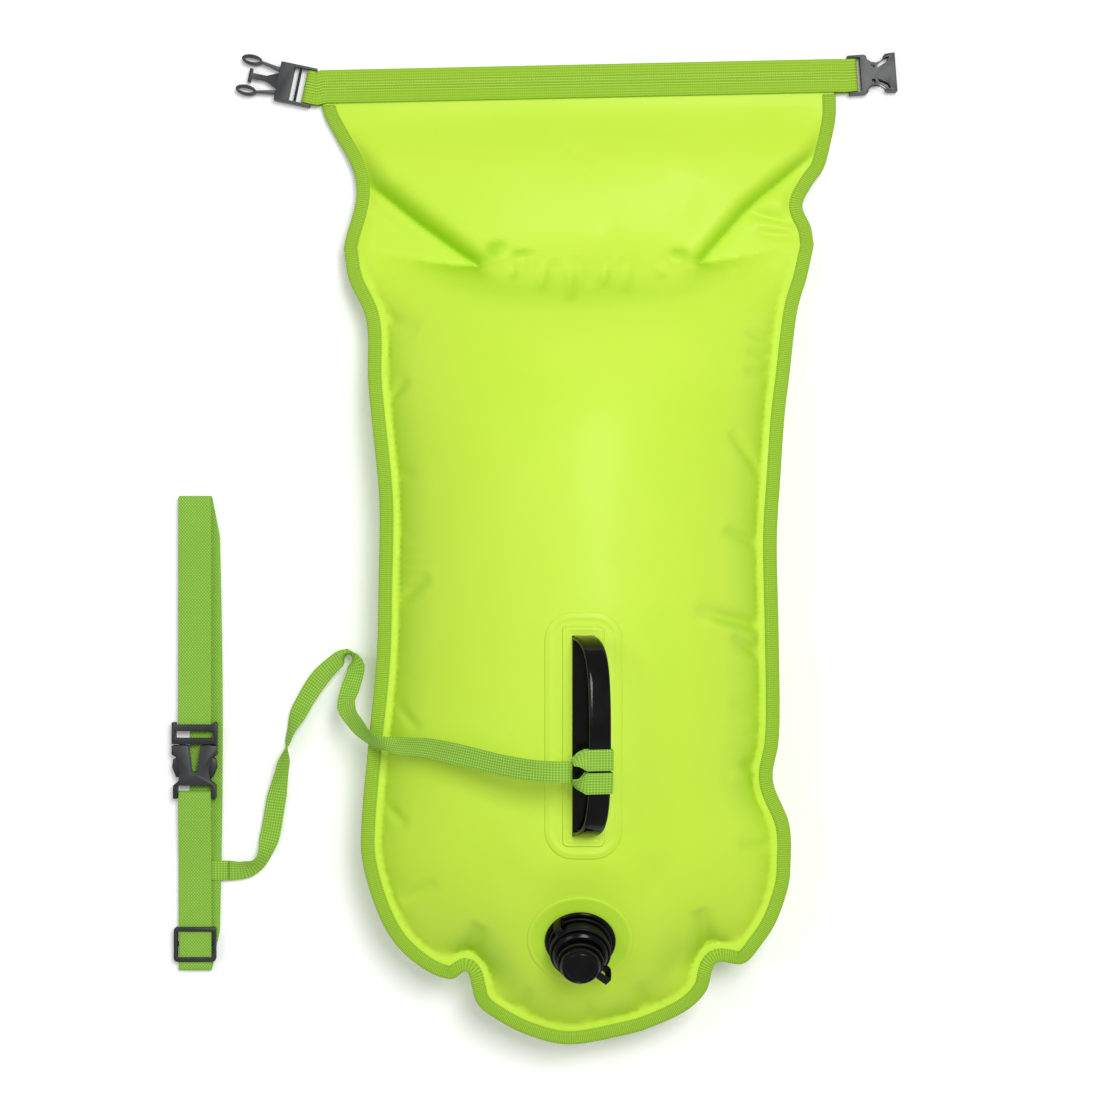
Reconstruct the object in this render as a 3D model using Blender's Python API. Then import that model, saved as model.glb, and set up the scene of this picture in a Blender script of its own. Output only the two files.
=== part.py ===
"""Open water swim buoy: an inflated float with a dry bag behind its air chamber, a roll-top mouth with a
side-release buckle, a carry handle, a screw valve, and a waist belt on a towing leash.

It lies on its back on the ground. The origin is the middle of the flat on its back, +Z is up, and +Y runs
towards the mouth. All lengths are in metres.
"""

import math

import bmesh
import bpy
import numpy as np
from mathutils import Matrix, Vector
from mathutils.bvhtree import BVHTree

# Clearances
LAYER_GAP = 0.0003
PATCH_GAP = 0.0005
TAPE_GAP = 0.0006
RUN_GAP = 0.00035
OVERRUN = 0.002

# The float's plan
FLOAT_HALF_WIDTH = 0.160
FLOAT_BELOW = 0.298
WELD_ABOVE = 0.295
WELD_DIP = 0.012
WELD_BAND = 0.005
FOLD_ABOVE = 0.409
MOUTH_TURN_SHARE = 0.022

# The float's heights
SEAM_HEIGHT = 0.058
SEAM_LEVEL_ABOVE = 0.100
MOUTH_HEIGHT = 0.0049
MOUTH_PUFF = 0.008
FRONT_RISE = 0.082
BACK_RISE = 0.075
SPINE_HALF_WIDTH = 0.013
END_RUN = 0.135
SEAT_FADE = 0.055

# How much faster the chamber fills out from its ends than from its sides
MOUTH_END_FULLNESS = 1.9
VALVE_END_FULLNESS = 1.5

# Skins and the tape round their edge
SKIN = 0.0006
SEAM_MARGIN = 0.0155
TAPE_WIDTH = 0.010
TAPE = 0.0008

# Roll-top mouth
WEBBING_WIDTH = 0.025
BAND = 0.0012
BAND_SETBACK = 0.0015
MOUTH_LIP = 0.002
STIFFENER = 0.001
STIFFENER_WIDTH = 0.019
FOLD_AXIS_RISE = 0.0036
BAND_TAIL = 0.018
LOOP_LEAD = 0.006

# Closure buckle, an open pair
PLUG_LEAD = 0.008954
SOCKET_LEAD = 0.012872
PLUG_TURN = math.radians(13)
SOCKET_TURN = math.radians(3)
BAR_RADIUS = 0.0022
BUCKLE_HALF_WIDTH = 0.0148
BUCKLE_HALF_THICK = 0.0042
RAIL = 0.0018
PLUG_RAIL_LENGTH = 0.0140
PLUG_BODY_LENGTH = 0.0105
TONGUE_LENGTH = 0.0225
TONGUE_HALF_WIDTH = 0.0020
TONGUE_HEAD_HALF_WIDTH = 0.0052
TONGUE_HEAD = 0.0024
GUSSET_LENGTH = 0.0090
GUSSET_HALF_WIDTH = 0.0062
ARM_HALF_THICK = 0.0026
ARM_BEAM = 0.0030
ARM_ROOT_OUT = 0.0088
ARM_BEAM_LENGTH = 0.0140
EYE_HALF_LENGTH = 0.0080
EYE_HALF_WIDTH = 0.0039
EYE_WALL = 0.0021
EYE_OUT = 0.0117
SOCKET_LENGTH = 0.0330
SOCKET_WAIST_HALF_WIDTH = 0.0082
SOCKET_MOUTH_LENGTH = 0.0080
SOCKET_BLOCK = 0.0045
SOCKET_WALL = 0.0017

# Carry handle
HANDLE_ACROSS = 0.005
HANDLE_ALONG = -0.064
HANDLE_LENGTH = 0.142
HANDLE_HEIGHT = 0.038
HANDLE_LEAN = 0.011
STRAP_WIDTH = 0.016
GRIP = 0.0032
BASE_STRAP = 0.0018
PATCH = 0.0008
PATCH_HALF_WIDTH = 0.0275
PATCH_HALF_LENGTH = 0.0875
COVER_HALF_WIDTH = 0.0150
COVER_HALF_LENGTH = 0.0785
PATCH_CORNER = 0.020
COVER_CORNER = 0.004

# Inflation valve, along its own axis from the skin outwards
VALVE_ACROSS = 0.003
VALVE_ALONG = -0.213
VALVE_PATCH_RADIUS = 0.038
BARREL_RADIUS = 0.0150
BARREL_DEPTH = 0.0100
BORE_RADIUS = 0.0130
FLANGE_RADIUS = 0.0256
FLANGE_FOOT = 0.0018
FLANGE = 0.0020
COLLAR_RADIUS = 0.0205
COLLAR_TOP = 0.0110
NECK_RADIUS = 0.0182
NECK_TOP = 0.0150
SEAL = 0.0012
BODY_RADIUS = 0.0198
BODY_PLATE = 0.0045
STEM_RADIUS = 0.0105
STEM_BORE_RADIUS = 0.0070
STEM_TOP = 0.0300
FLAP_RADIUS = 0.0100
FLAP = 0.0007
CAP_RADIUS = 0.0145
CAP_TOP = 0.0350
CAP_CROWN = 0.0030
TETHER = 0.0018
TETHER_WIDTH = 0.0060
TETHER_BULGE = 0.0050

# Leash and its hitch on the handle
LEASH_WIDTH = 0.015
LEASH = 0.0012
WRAP_WIDTH = 0.0125
WRAP_SPREAD = 0.0095
HITCH_ALONG = -0.086
HITCH_NECK = 0.012

# Waist belt
BELT_AWAY = 0.128
BELT = 0.0013
BELT_BACK_HEIGHT = 0.00225
BELT_TOP = 0.108
BELT_BOTTOM = -0.251
BELT_TAIL = 0.018
SHIFT_RUN = 0.030
BACK_SHIFT = 0.005
BACK_SHIFT_MIDDLE = 0.008

# Belt buckle, a closed pair
BELT_BUCKLE_TOP = -0.063
BELT_BUCKLE_HALF_WIDTH = 0.0172
BELT_BUCKLE_FOOT = 0.0036
BELT_BUCKLE_THICK = 0.0086
BELT_RAIL = 0.0030
BELT_BAR_RADIUS = 0.0012
COVER_BAR = 0.0050
FRAME_LENGTH = 0.0165
FRAME_BLOCK = 0.0045
CLASP_LENGTH = 0.0410
CLASP_WALL = 0.0016
CLASP_LEG = 0.0100

# Belt adjuster
ADJUSTER_ALONG = -0.2315
ADJUSTER_HALF_WIDTH = 0.0160
ADJUSTER_HALF_LENGTH = 0.0133
ADJUSTER_BAR = 0.0036
ADJUSTER_DEPTH = 0.0019
ADJUSTER_CHANNEL = 0.0021

# Where the belt's front layer lies
BELT_FRONT_OUT = FLOAT_HALF_WIDTH + BELT_AWAY

# Counts
SIDE_STEPS = 70
WELD_STEPS = 10
MOUTH_STEPS = 7
ROUND_SIDES = 28

# Rings of a dome, as shares of the way from its seam to its spine
RING_SHARES = (0.0, 0.07, 0.18, 0.33, 0.52, 0.75, 1.0)

# The float's edge below the weld, from its left corner round the bottom to its right corner.
# Across is a share of FLOAT_HALF_WIDTH; up is one of WELD_ABOVE, and down one of FLOAT_BELOW.
EDGE_SHARES = (
    (-1.088, 1.000), (-1.059, 0.915), (-0.975, 0.810), (-0.963, 0.660), (-0.944, 0.560),
    (-0.906, 0.356), (-0.909, 0.153), (-0.919, -0.050), (-0.956, -0.252), (-0.988, -0.453),
    (-0.981, -0.554), (-0.913, -0.674), (-0.825, -0.755), (-0.694, -0.815), (-0.575, -0.838),
    (-0.500, -0.820), (-0.456, -0.896), (-0.369, -0.936), (-0.219, -0.977), (-0.025, -1.000),
    (0.225, -0.977), (0.356, -0.956), (0.513, -0.916), (0.606, -0.866), (0.650, -0.798),
    (0.775, -0.800), (0.856, -0.755), (0.928, -0.695), (0.981, -0.614), (0.994, -0.554),
    (0.988, -0.453), (0.913, -0.346), (0.938, -0.252), (0.944, -0.151), (0.938, 0.051),
    (0.931, 0.254), (0.947, 0.407), (0.969, 0.560), (0.994, 0.661), (1.038, 0.831),
    (1.088, 0.922), (1.125, 1.007),
)

# The mouth's sides above the weld; up is a share of the way from the weld to the fold line.
LEFT_MOUTH_SHARES = (
    (-1.088, 0.00), (-1.075, 0.10), (-1.044, 0.264), (-1.031, 0.41), (-1.056, 0.573),
    (-1.131, 0.773), (-1.181, 0.909), (-1.200, 1.00),
)
RIGHT_MOUTH_SHARES = (
    (1.125, 0.018), (1.113, 0.14), (1.075, 0.28), (1.125, 0.42), (1.181, 0.53),
    (1.219, 0.72), (1.238, 0.86), (1.238, 1.00),
)

# The grip from its front end to its top: along is a share of half its length, up one of its rise.
GRIP_SHARES = (
    (1.000, 0.00), (0.990, 0.16), (0.965, 0.36), (0.920, 0.55), (0.850, 0.71), (0.740, 0.84), (0.580, 0.93),
    (0.380, 0.98), (0.180, 0.998), (0.000, 1.00),
)

# The leash's middle line, from the hitch on the handle to the belt, chosen by hand: place, then the
# direction of the webbing's width. Across goes from 0 through -1 at the float's side to -2 at the belt's
# middle, along is a share of FLOAT_BELOW, and up is one of the front's height.
LEASH_ROUTE_SHARES = (
    ((-0.0275, -0.2886, 1.3407), (0.00, 1.00, 0.00)),
    ((-0.0938, -0.2886, 1.3464), (0.00, 1.00, 0.00)),
    ((-0.2063, -0.2862, 1.2857), (0.05, 1.00, 0.00)),
    ((-0.3500, -0.2768, 1.1643), (0.10, 1.00, -0.05)),
    ((-0.5250, -0.2601, 1.0000), (0.20, 0.97, -0.10)),
    ((-0.6750, -0.2500, 0.8286), (0.20, 0.90, -0.30)),
    ((-0.8063, -0.2500, 0.6786), (0.10, 0.75, -0.55)),
    ((-0.9219, -0.2399, 0.5643), (0.10, 0.60, 0.75)),
    ((-1.0273, -0.2020, 0.3857), (0.50, 0.60, 0.40)),
    ((-1.0867, -0.1621, 0.2714), (0.90, 0.25, 0.20)),
    ((-1.0688, -0.1225, 0.2071), (0.95, -0.10, 0.15)),
    ((-1.0391, -0.0718, 0.1500), (0.90, 0.00, 0.35)),
    ((-1.0781, -0.0369, 0.1071), (0.30, -0.10, 0.95)),
    ((-1.1523, -0.0537, 0.0786), (0.55, -0.60, 0.50)),
    ((-1.2695, -0.1040, 0.0643), (0.75, -0.60, 0.25)),
    ((-1.3773, -0.1805, 0.0629), (0.80, -0.40, 0.45)),
    ((-1.4422, -0.2490, 0.0629), (0.35, -0.12, 0.93)),
    ((-1.4773, -0.3205, 0.0600), (-0.55, 0.10, 0.80)),
    ((-1.5195, -0.4097, 0.0393), (-0.93, 0.20, 0.30)),
    ((-1.5594, -0.5034, 0.0329), (-0.97, 0.22, 0.15)),
    ((-1.6094, -0.5654, 0.0514), (-0.40, 0.45, 0.80)),
    ((-1.7031, -0.5879, 0.0400), (-0.10, 0.90, 0.40)),
    ((-1.8047, -0.5906, 0.0314), (0.00, 1.00, 0.00)),
)


def material(name, colour, roughness):
    """A plain finish for one kind of piece."""
    made = bpy.data.materials.new(name)
    made.use_nodes = True
    shader = made.node_tree.nodes["Principled BSDF"]
    shader.inputs["Base Color"].default_value = (*colour, 1.0)
    shader.inputs["Roughness"].default_value = roughness
    shader.inputs["Metallic"].default_value = 0.0
    made.diffuse_color = (*colour, 1.0)
    return made


def clamp(value, low, high):
    return min(max(value, low), high)


def smoothstep(share):
    share = clamp(share, 0.0, 1.0)
    return share * share * (3.0 - 2.0 * share)


def mixed(start, end, share):
    return start + (end - start) * share


def smooth_line(points, steps):
    """steps + 1 points spaced evenly along a smooth curve through the given points."""
    points = [Vector(p) for p in points]
    ends = [2 * points[0] - points[1]] + points + [2 * points[-1] - points[-2]]
    fine_steps = 12
    fine = []
    for before, start, end, after in zip(ends, ends[1:], ends[2:], ends[3:]):
        for step in range(fine_steps):
            t = step / fine_steps
            fine.append(0.5 * (2 * start + (end - before) * t
                               + (2 * before - 5 * start + 4 * end - after) * t * t
                               + (3 * start - before - 3 * end + after) * t * t * t))
    fine.append(points[-1])
    along = [0.0]
    for start, end in zip(fine, fine[1:]):
        along.append(along[-1] + (end - start).length)
    line, at = [], 0
    for step in range(steps + 1):
        wanted = along[-1] * step / steps
        while at < len(fine) - 2 and along[at + 1] < wanted:
            at += 1
        share = (wanted - along[at]) / (along[at + 1] - along[at])
        line.append(mixed(fine[at], fine[at + 1], clamp(share, 0.0, 1.0)))
    return line


def object_from(name, bm, finish, frame=None, smooth=False):
    """Turns bm into a named object with its finish, at a frame that is its own origin and axes."""
    mesh = bpy.data.meshes.new(name)
    bmesh.ops.recalc_face_normals(bm, faces=bm.faces)
    bm.to_mesh(mesh)
    bm.free()
    mesh.materials.append(finish)
    made = bpy.data.objects.new(name, mesh)
    bpy.context.scene.collection.objects.link(made)
    if frame is not None:
        made.matrix_world = frame
    if smooth:
        mesh.shade_smooth()
        mesh.set_sharp_from_angle(angle=math.radians(40))
    return made


def as_tool(shape):
    """A shape that only cuts or joins another one."""
    shape.hide_render = True
    shape.display_type = "WIRE"
    return shape


def cut(piece, *cutters):
    for cutter in cutters:
        step = piece.modifiers.new("cut", "BOOLEAN")
        step.operation = "DIFFERENCE"
        step.solver = "EXACT"
        step.object = as_tool(cutter)
    return piece


def join(piece, *others):
    for other in others:
        step = piece.modifiers.new("join", "BOOLEAN")
        step.operation = "UNION"
        step.solver = "EXACT"
        step.object = as_tool(other)
    return piece


def prism(outline, low, high):
    """A plan outline raised from low to high."""
    bm = bmesh.new()
    bottom = [bm.verts.new((x, y, low)) for x, y in outline]
    top = [bm.verts.new((x, y, high)) for x, y in outline]
    bm.faces.new(bottom)
    bm.faces.new(top)
    for i in range(len(outline)):
        j = (i + 1) % len(outline)
        bm.faces.new((bottom[i], bottom[j], top[j], top[i]))
    return bm


def box(x_low, x_high, y_low, y_high, z_low, z_high):
    return prism(((x_low, y_low), (x_high, y_low), (x_high, y_high), (x_low, y_high)), z_low, z_high)


def rod(radius, half_length, centre, sides):
    """A round bar along Y."""
    bm = bmesh.new()
    for y in (-half_length, half_length):
        ring = [bm.verts.new((centre[0] + radius * math.cos(math.tau * (i + 0.5) / sides),
                              centre[1] + y,
                              centre[2] + radius * math.sin(math.tau * (i + 0.5) / sides)))
                for i in range(sides)]
        bm.faces.new(ring)
    bm.verts.ensure_lookup_table()
    for i in range(sides):
        j = (i + 1) % sides
        bm.faces.new((bm.verts[i], bm.verts[j], bm.verts[sides + j], bm.verts[sides + i]))
    return bm


def turned(profile, sides=ROUND_SIDES):
    """A closed profile of (radius, height) points turned about Z."""
    bm = bmesh.new()
    rings = []
    for radius, height in profile:
        if radius == 0:
            rings.append([bm.verts.new((0, 0, height))] * sides)
            continue
        rings.append([bm.verts.new((radius * math.cos(math.tau * i / sides),
                                    radius * math.sin(math.tau * i / sides), height))
                      for i in range(sides)])
    for first, second in zip(rings, rings[1:] + rings[:1]):
        for i in range(sides):
            j = (i + 1) % sides
            corners = []
            for corner in (first[i], first[j], second[j], second[i]):
                if corner not in corners:
                    corners.append(corner)
            if len(corners) > 2:
                bm.faces.new(corners)
    return bm


def ribbon(centres, widths, width, thick):
    """Webbing of a flat section along centres; widths are the directions of its width there."""
    centres = [Vector(c) for c in centres]
    bm = bmesh.new()
    sections = []
    for i, centre in enumerate(centres):
        before = (centre - centres[max(i - 1, 0)]).normalized()
        after = (centres[min(i + 1, len(centres) - 1)] - centre).normalized()
        along = (before + after).normalized()
        across = Vector(widths[i])
        across = (across - along * across.dot(along)).normalized()
        face = along.cross(across)
        mitre = max(along.dot(before), along.dot(after))
        sections.append([bm.verts.new(centre + across * width / 2 * a + face * thick / 2 / mitre * b)
                         for a, b in ((-1, -1), (1, -1), (1, 1), (-1, 1))])
    for first, second in zip(sections, sections[1:]):
        for i in range(4):
            j = (i + 1) % 4
            bm.faces.new((first[i], first[j], second[j], second[i]))
    bm.faces.new(sections[0])
    bm.faces.new(sections[-1])
    return bm


def sheet_solid(sheet, low, high):
    """A closed wall between two offsets of an open sheet, measured along its normals."""
    sheet.normal_update()
    sheet.verts.ensure_lookup_table()
    sheet.verts.index_update()
    wall = bmesh.new()
    layers = []
    for offset in (low, high):
        layers.append([wall.verts.new(v.co + v.normal * v.calc_shell_factor() * offset)
                       for v in sheet.verts])
    for face in sheet.faces:
        corners = [v.index for v in face.verts]
        wall.faces.new([layers[1][i] for i in corners])
        wall.faces.new([layers[0][i] for i in reversed(corners)])
    for edge in sheet.edges:
        if edge.is_boundary:
            a, b = (v.index for v in edge.verts)
            wall.faces.new((layers[0][a], layers[0][b], layers[1][b], layers[1][a]))
    return wall


def surface_of(piece):
    """A search tree of a piece's surface, as it stands before its cuts."""
    bm = bmesh.new()
    bm.from_mesh(piece.data)
    bm.transform(piece.matrix_world)
    tree = BVHTree.FromBMesh(bm)
    bm.free()
    return tree


def rounded_outline(half_width, half_length, corner, corner_steps=4):
    """A rectangle with round corners, anticlockwise."""
    outline = []
    for quarter, (sx, sy) in enumerate(((1, 1), (-1, 1), (-1, -1), (1, -1))):
        for step in range(corner_steps + 1):
            angle = math.pi / 2 * (quarter + step / corner_steps)
            outline.append((sx * (half_width - corner) + corner * math.cos(angle),
                            sy * (half_length - corner) + corner * math.sin(angle)))
    return outline


# Plan and heights of the float

def edge_point(across_share, up_share):
    up = WELD_ABOVE if up_share > 0 else FLOAT_BELOW
    return Vector((across_share * FLOAT_HALF_WIDTH, up_share * up))


def fold_line(across):
    """The mouth's first fold runs a little uphill to the right."""
    return FOLD_ABOVE + MOUTH_TURN_SHARE * across


def mouth_point(across_share, up_share):
    across = across_share * FLOAT_HALF_WIDTH
    return Vector((across, mixed(WELD_ABOVE, fold_line(across), up_share)))


def seam_height(y):
    """How high the middle of the edge lies above the ground."""
    low_end = FOLD_ABOVE - MOUTH_TURN_SHARE * FLOAT_HALF_WIDTH * 1.3
    share = smoothstep((y - SEAM_LEVEL_ABOVE) / (low_end - SEAM_LEVEL_ABOVE))
    return mixed(SEAM_HEIGHT, MOUTH_HEIGHT, share)


class Edge:
    """The outer edge of the float, from the left end of the fold line round the bottom to its right end."""

    def __init__(self):
        left = smooth_line([mouth_point(*s) for s in reversed(LEFT_MOUTH_SHARES)], MOUTH_STEPS)
        body = smooth_line([edge_point(*s) for s in EDGE_SHARES], SIDE_STEPS)
        right = smooth_line([mouth_point(*s) for s in RIGHT_MOUTH_SHARES], MOUTH_STEPS)
        self.points = left[:-1] + body + right[1:]
        self.left_corner = MOUTH_STEPS
        self.right_corner = MOUTH_STEPS + SIDE_STEPS
        last = len(self.points) - 1
        self.outward = []
        for i in range(len(self.points)):
            ahead = (self.points[min(i + 1, last)] - self.points[max(i - 1, 0)]).normalized()
            self.outward.append(Vector((ahead.y, -ahead.x)) * -1)
        if self.outward[self.left_corner].x > 0:
            self.outward = [-n for n in self.outward]

    def inset(self, i, distance):
        return self.points[i] - self.outward[i] * distance

    def seat(self, i, distance):
        """A place on the flat margin, on the straight line from the skins' rim to the margin's inside."""
        rim_at, foot_at = TAPE + LAYER_GAP, SEAM_MARGIN
        rim, foot = self.inset(i, rim_at), self.inset(i, foot_at)
        share = (distance - rim_at) / (foot_at - rim_at)
        place = self.inset(i, distance)
        return Vector((place.x, place.y, mixed(seam_height(rim.y), seam_height(foot.y), share)))


def weld_line(edge):
    """The weld that closes the chamber at its top, from its right margin to its left one."""
    left = edge.inset(edge.left_corner, SEAM_MARGIN)
    right = edge.inset(edge.right_corner, SEAM_MARGIN)
    points = []
    for step in range(WELD_STEPS, -1, -1):
        share = step / WELD_STEPS
        point = mixed(left, right, share)
        point.y -= WELD_DIP * (1 - abs(2 * share - 1) ** 3)
        points.append(point)
    return points


def spine_point(point):
    """The place on the dome's spine that a point of its seam leads to."""
    kept = 0.12
    low = -(FLOAT_BELOW - END_RUN)
    high = WELD_ABOVE - END_RUN
    y = clamp(point.y, low, high)
    return Vector((point.x / FLOAT_HALF_WIDTH * SPINE_HALF_WIDTH, y + (point.y - y) * kept))


def dome_plan(edge):
    """The chamber's wall as a flat sheet of triangles, with the number of the ring that each point is on."""
    rim = [edge.inset(i, TAPE + LAYER_GAP) for i in range(edge.left_corner, edge.right_corner + 1)]
    foot = [edge.inset(i, SEAM_MARGIN) for i in range(edge.left_corner, edge.right_corner + 1)]
    weld = weld_line(edge)
    rim += weld
    foot += [p - Vector((0, WELD_BAND * (1 - (2 * i / WELD_STEPS - 1) ** 4))) for i, p in enumerate(weld)]
    bm = bmesh.new()
    ring_of = bm.verts.layers.int.new("ring")
    rings = [[bm.verts.new((p.x, p.y, 0)) for p in rim]]
    for share in RING_SHARES:
        places = [mixed(start, spine_point(start), share) for start in foot]
        rings.append([bm.verts.new((p.x, p.y, 0)) for p in places])
    for number, ring in enumerate(rings):
        for corner in ring:
            corner[ring_of] = number
    count = len(rim)
    for first, second in zip(rings, rings[1:]):
        for i in range(count):
            j = (i + 1) % count
            bm.faces.new((first[i], first[j], second[j], second[i]))
    bm.faces.new(rings[-1])
    bmesh.ops.remove_doubles(bm, verts=bm.verts, dist=LAYER_GAP / 10)
    bmesh.ops.triangulate(bm, faces=bm.faces, quad_method="SHORT_EDGE")
    bm.verts.index_update()
    return bm, ring_of


class Membrane:
    """An even sheet stretched over a plan of triangles, held at some of its points."""

    def __init__(self, plan, held):
        points = [(v.co.x, v.co.y * (MOUTH_END_FULLNESS if v.co.y > 0 else VALVE_END_FULLNESS))
                  for v in plan.verts]
        points = np.array(points)
        count = len(points)
        self.held = np.array(held)
        self.pull = np.zeros((count, count))
        self.area = np.zeros(count)
        for face in plan.faces:
            corners = [v.index for v in face.verts]
            for k in range(3):
                i, j, apex = corners[k], corners[(k + 1) % 3], corners[(k + 2) % 3]
                first, second = points[i] - points[apex], points[j] - points[apex]
                doubled = abs(first[0] * second[1] - first[1] * second[0])
                if doubled == 0:
                    continue
                weight = first.dot(second) / (2 * doubled)
                self.pull[i, j] -= weight
                self.pull[j, i] -= weight
                self.pull[i, i] += weight
                self.pull[j, j] += weight
                self.area[i] += doubled / 6

    def solve(self, load, heights):
        """The sheet's heights under a load on each point, with the held points at the given heights."""
        free = ~self.held
        known = self.pull[np.ix_(free, self.held)] @ heights[self.held]
        found = heights.copy()
        found[free] = np.linalg.solve(self.pull[np.ix_(free, free)], load[free] - known)
        return found


def handle_seat(x, y, bow):
    """The height that the handle's patches hold the front wall at, and how strongly they do."""
    out_x = max(abs(x - HANDLE_ACROSS) - COVER_HALF_WIDTH, 0)
    out_y = max(abs(y - HANDLE_ALONG) - HANDLE_LENGTH / 2, 0)
    level = SEAM_HEIGHT + FRONT_RISE - (x - HANDLE_ACROSS) ** 2 / (2 * bow)
    return level, 1 - smoothstep(math.hypot(out_x, out_y) / SEAT_FADE)


def dome_sheet(edge, rise, side):
    """The chamber's wall as an open sheet: side is 1 for the front wall and -1 for the back one."""
    floor = SKIN / 2 + LAYER_GAP + SKIN
    bm, ring_of = dome_plan(edge)
    seams = np.array([seam_height(v.co.y) for v in bm.verts])
    membrane = Membrane(bm, [v[ring_of] < 2 for v in bm.verts])
    base = membrane.solve(np.zeros(len(seams)), seams)
    lifted = membrane.solve(membrane.area, np.zeros(len(seams)))
    lifted /= lifted.max()
    half = FLOAT_HALF_WIDTH - SEAM_MARGIN
    radius = (half * half + rise * rise) / (2 * rise)
    for corner, low, share in zip(bm.verts, base, lifted):
        height = math.sqrt(radius ** 2 - half ** 2 * (1 - clamp(share, 0.0, 1.0))) - (radius - rise)
        place = low + side * height
        if side > 0 and share > 0:
            level, hold = handle_seat(corner.co.x, corner.co.y, radius)
            place = mixed(place, level, hold)
        corner.co.z = max(place, floor)
    return bm


def mouth_rows(edge):
    """Rows of points of the mouth's middle surface, from the weld up to the fold line."""
    weld = list(reversed(weld_line(edge)))
    rows = []
    for step in range(MOUTH_STEPS + 1):
        left, right = edge.left_corner - step, edge.right_corner + step
        outer_left, outer_right = (edge.inset(i, TAPE + LAYER_GAP) for i in (left, right))
        start, end = edge.inset(left, SEAM_MARGIN), edge.inset(right, SEAM_MARGIN)
        if step == MOUTH_STEPS:
            for point in (outer_left, outer_right, start, end):
                point.y = fold_line(point.x)
        row = [outer_left]
        for k, on_weld in enumerate(weld):
            share = k / WELD_STEPS
            straight = mixed(start, end, share)
            dip = on_weld.y - mixed(weld[0], weld[-1], share).y
            row.append(Vector((straight.x, straight.y + dip * (1 - step / MOUTH_STEPS))))
        row.append(outer_right)
        puff = MOUTH_PUFF * math.sin(math.pi * step / MOUTH_STEPS) ** 2
        heights = [seam_height(p.y) for p in row]
        for k in range(1, WELD_STEPS):
            heights[k + 1] += puff * math.sin(math.pi * k / WELD_STEPS)
        rows.append([Vector((p.x, p.y, h)) for p, h in zip(row, heights)])
    return rows


def add_mouth(sheet, edge):
    """Adds the mouth's panel to a dome's sheet, joined along the weld."""
    rows = [[sheet.verts.new(p) for p in row] for row in mouth_rows(edge)]
    for low_row, high_row in zip(rows, rows[1:]):
        for i in range(len(low_row) - 1):
            sheet.faces.new((low_row[i], low_row[i + 1], high_row[i + 1], high_row[i]))
    bmesh.ops.remove_doubles(sheet, verts=sheet.verts, dist=LAYER_GAP / 10)
    return sheet


def facing_up(sheet):
    """Splits an open sheet into triangles and turns them so that they look up."""
    bmesh.ops.triangulate(sheet, faces=sheet.faces, quad_method="SHORT_EDGE")
    bmesh.ops.recalc_face_normals(sheet, faces=sheet.faces)
    sheet.normal_update()
    if sum(f.normal.z * f.calc_area() for f in sheet.faces) < 0:
        bmesh.ops.reverse_faces(sheet, faces=sheet.faces)
    return sheet


def build_float(edge, finishes):
    """The three skins and the tape round them."""
    inner, outer = SKIN / 2 + LAYER_GAP, SKIN / 2 + LAYER_GAP + SKIN
    front = facing_up(add_mouth(dome_sheet(edge, FRONT_RISE, 1), edge))
    front_skin = object_from("front_skin", sheet_solid(front, inner, outer), finishes["skin"], smooth=True)
    back = facing_up(add_mouth(dome_sheet(edge, BACK_RISE, -1), edge))
    wall = sheet_solid(back, -outer, -inner)
    for corner in wall.verts:
        corner.co.z = max(corner.co.z, 0)
    object_from("back_skin", wall, finishes["skin"], smooth=True)
    back.free()
    liner = dome_sheet(edge, BACK_RISE, -1)
    bmesh.ops.remove_doubles(liner, verts=liner.verts, dist=LAYER_GAP / 10)
    facing_up(liner)
    object_from("chamber_liner", sheet_solid(liner, -SKIN / 2, SKIN / 2), finishes["liner"], smooth=True)
    liner.free()
    build_tape(edge, finishes)
    return front_skin, front


def build_tape(edge, finishes):
    """Webbing folded over the edge of the skins and sewn through them."""
    inner = SKIN / 2 + LAYER_GAP + SKIN + TAPE_GAP
    outer = inner + TAPE
    section = ((0, outer), (-TAPE_WIDTH, outer), (-TAPE_WIDTH, inner), (-TAPE, inner),
               (-TAPE, -inner), (-TAPE_WIDTH, -inner), (-TAPE_WIDTH, -outer), (0, -outer))
    bm = bmesh.new()
    rings = []
    for i in range(len(edge.points)):
        ring = []
        for out, up in section:
            place = edge.seat(i, -out)
            if i in (0, len(edge.points) - 1):
                place.y = fold_line(place.x)
                place.z = seam_height(place.y)
            ring.append(bm.verts.new(place + Vector((0, 0, up))))
        rings.append(ring)
    for first, second in zip(rings, rings[1:]):
        for i in range(len(section)):
            j = (i + 1) % len(section)
            bm.faces.new((first[i], first[j], second[j], second[i]))
    bm.faces.new(rings[0])
    bm.faces.new(rings[-1])
    object_from("edge_tape", bm, finishes["webbing"])


def mouth_frame():
    """Origin on the fold line at the middle of the mouth, +X along the line, +Y out of the bag."""
    turn = math.atan(MOUTH_TURN_SHARE)
    return Matrix.Translation((0, FOLD_ABOVE, MOUTH_HEIGHT)) @ Matrix.Rotation(turn, 4, "Z")


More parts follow.
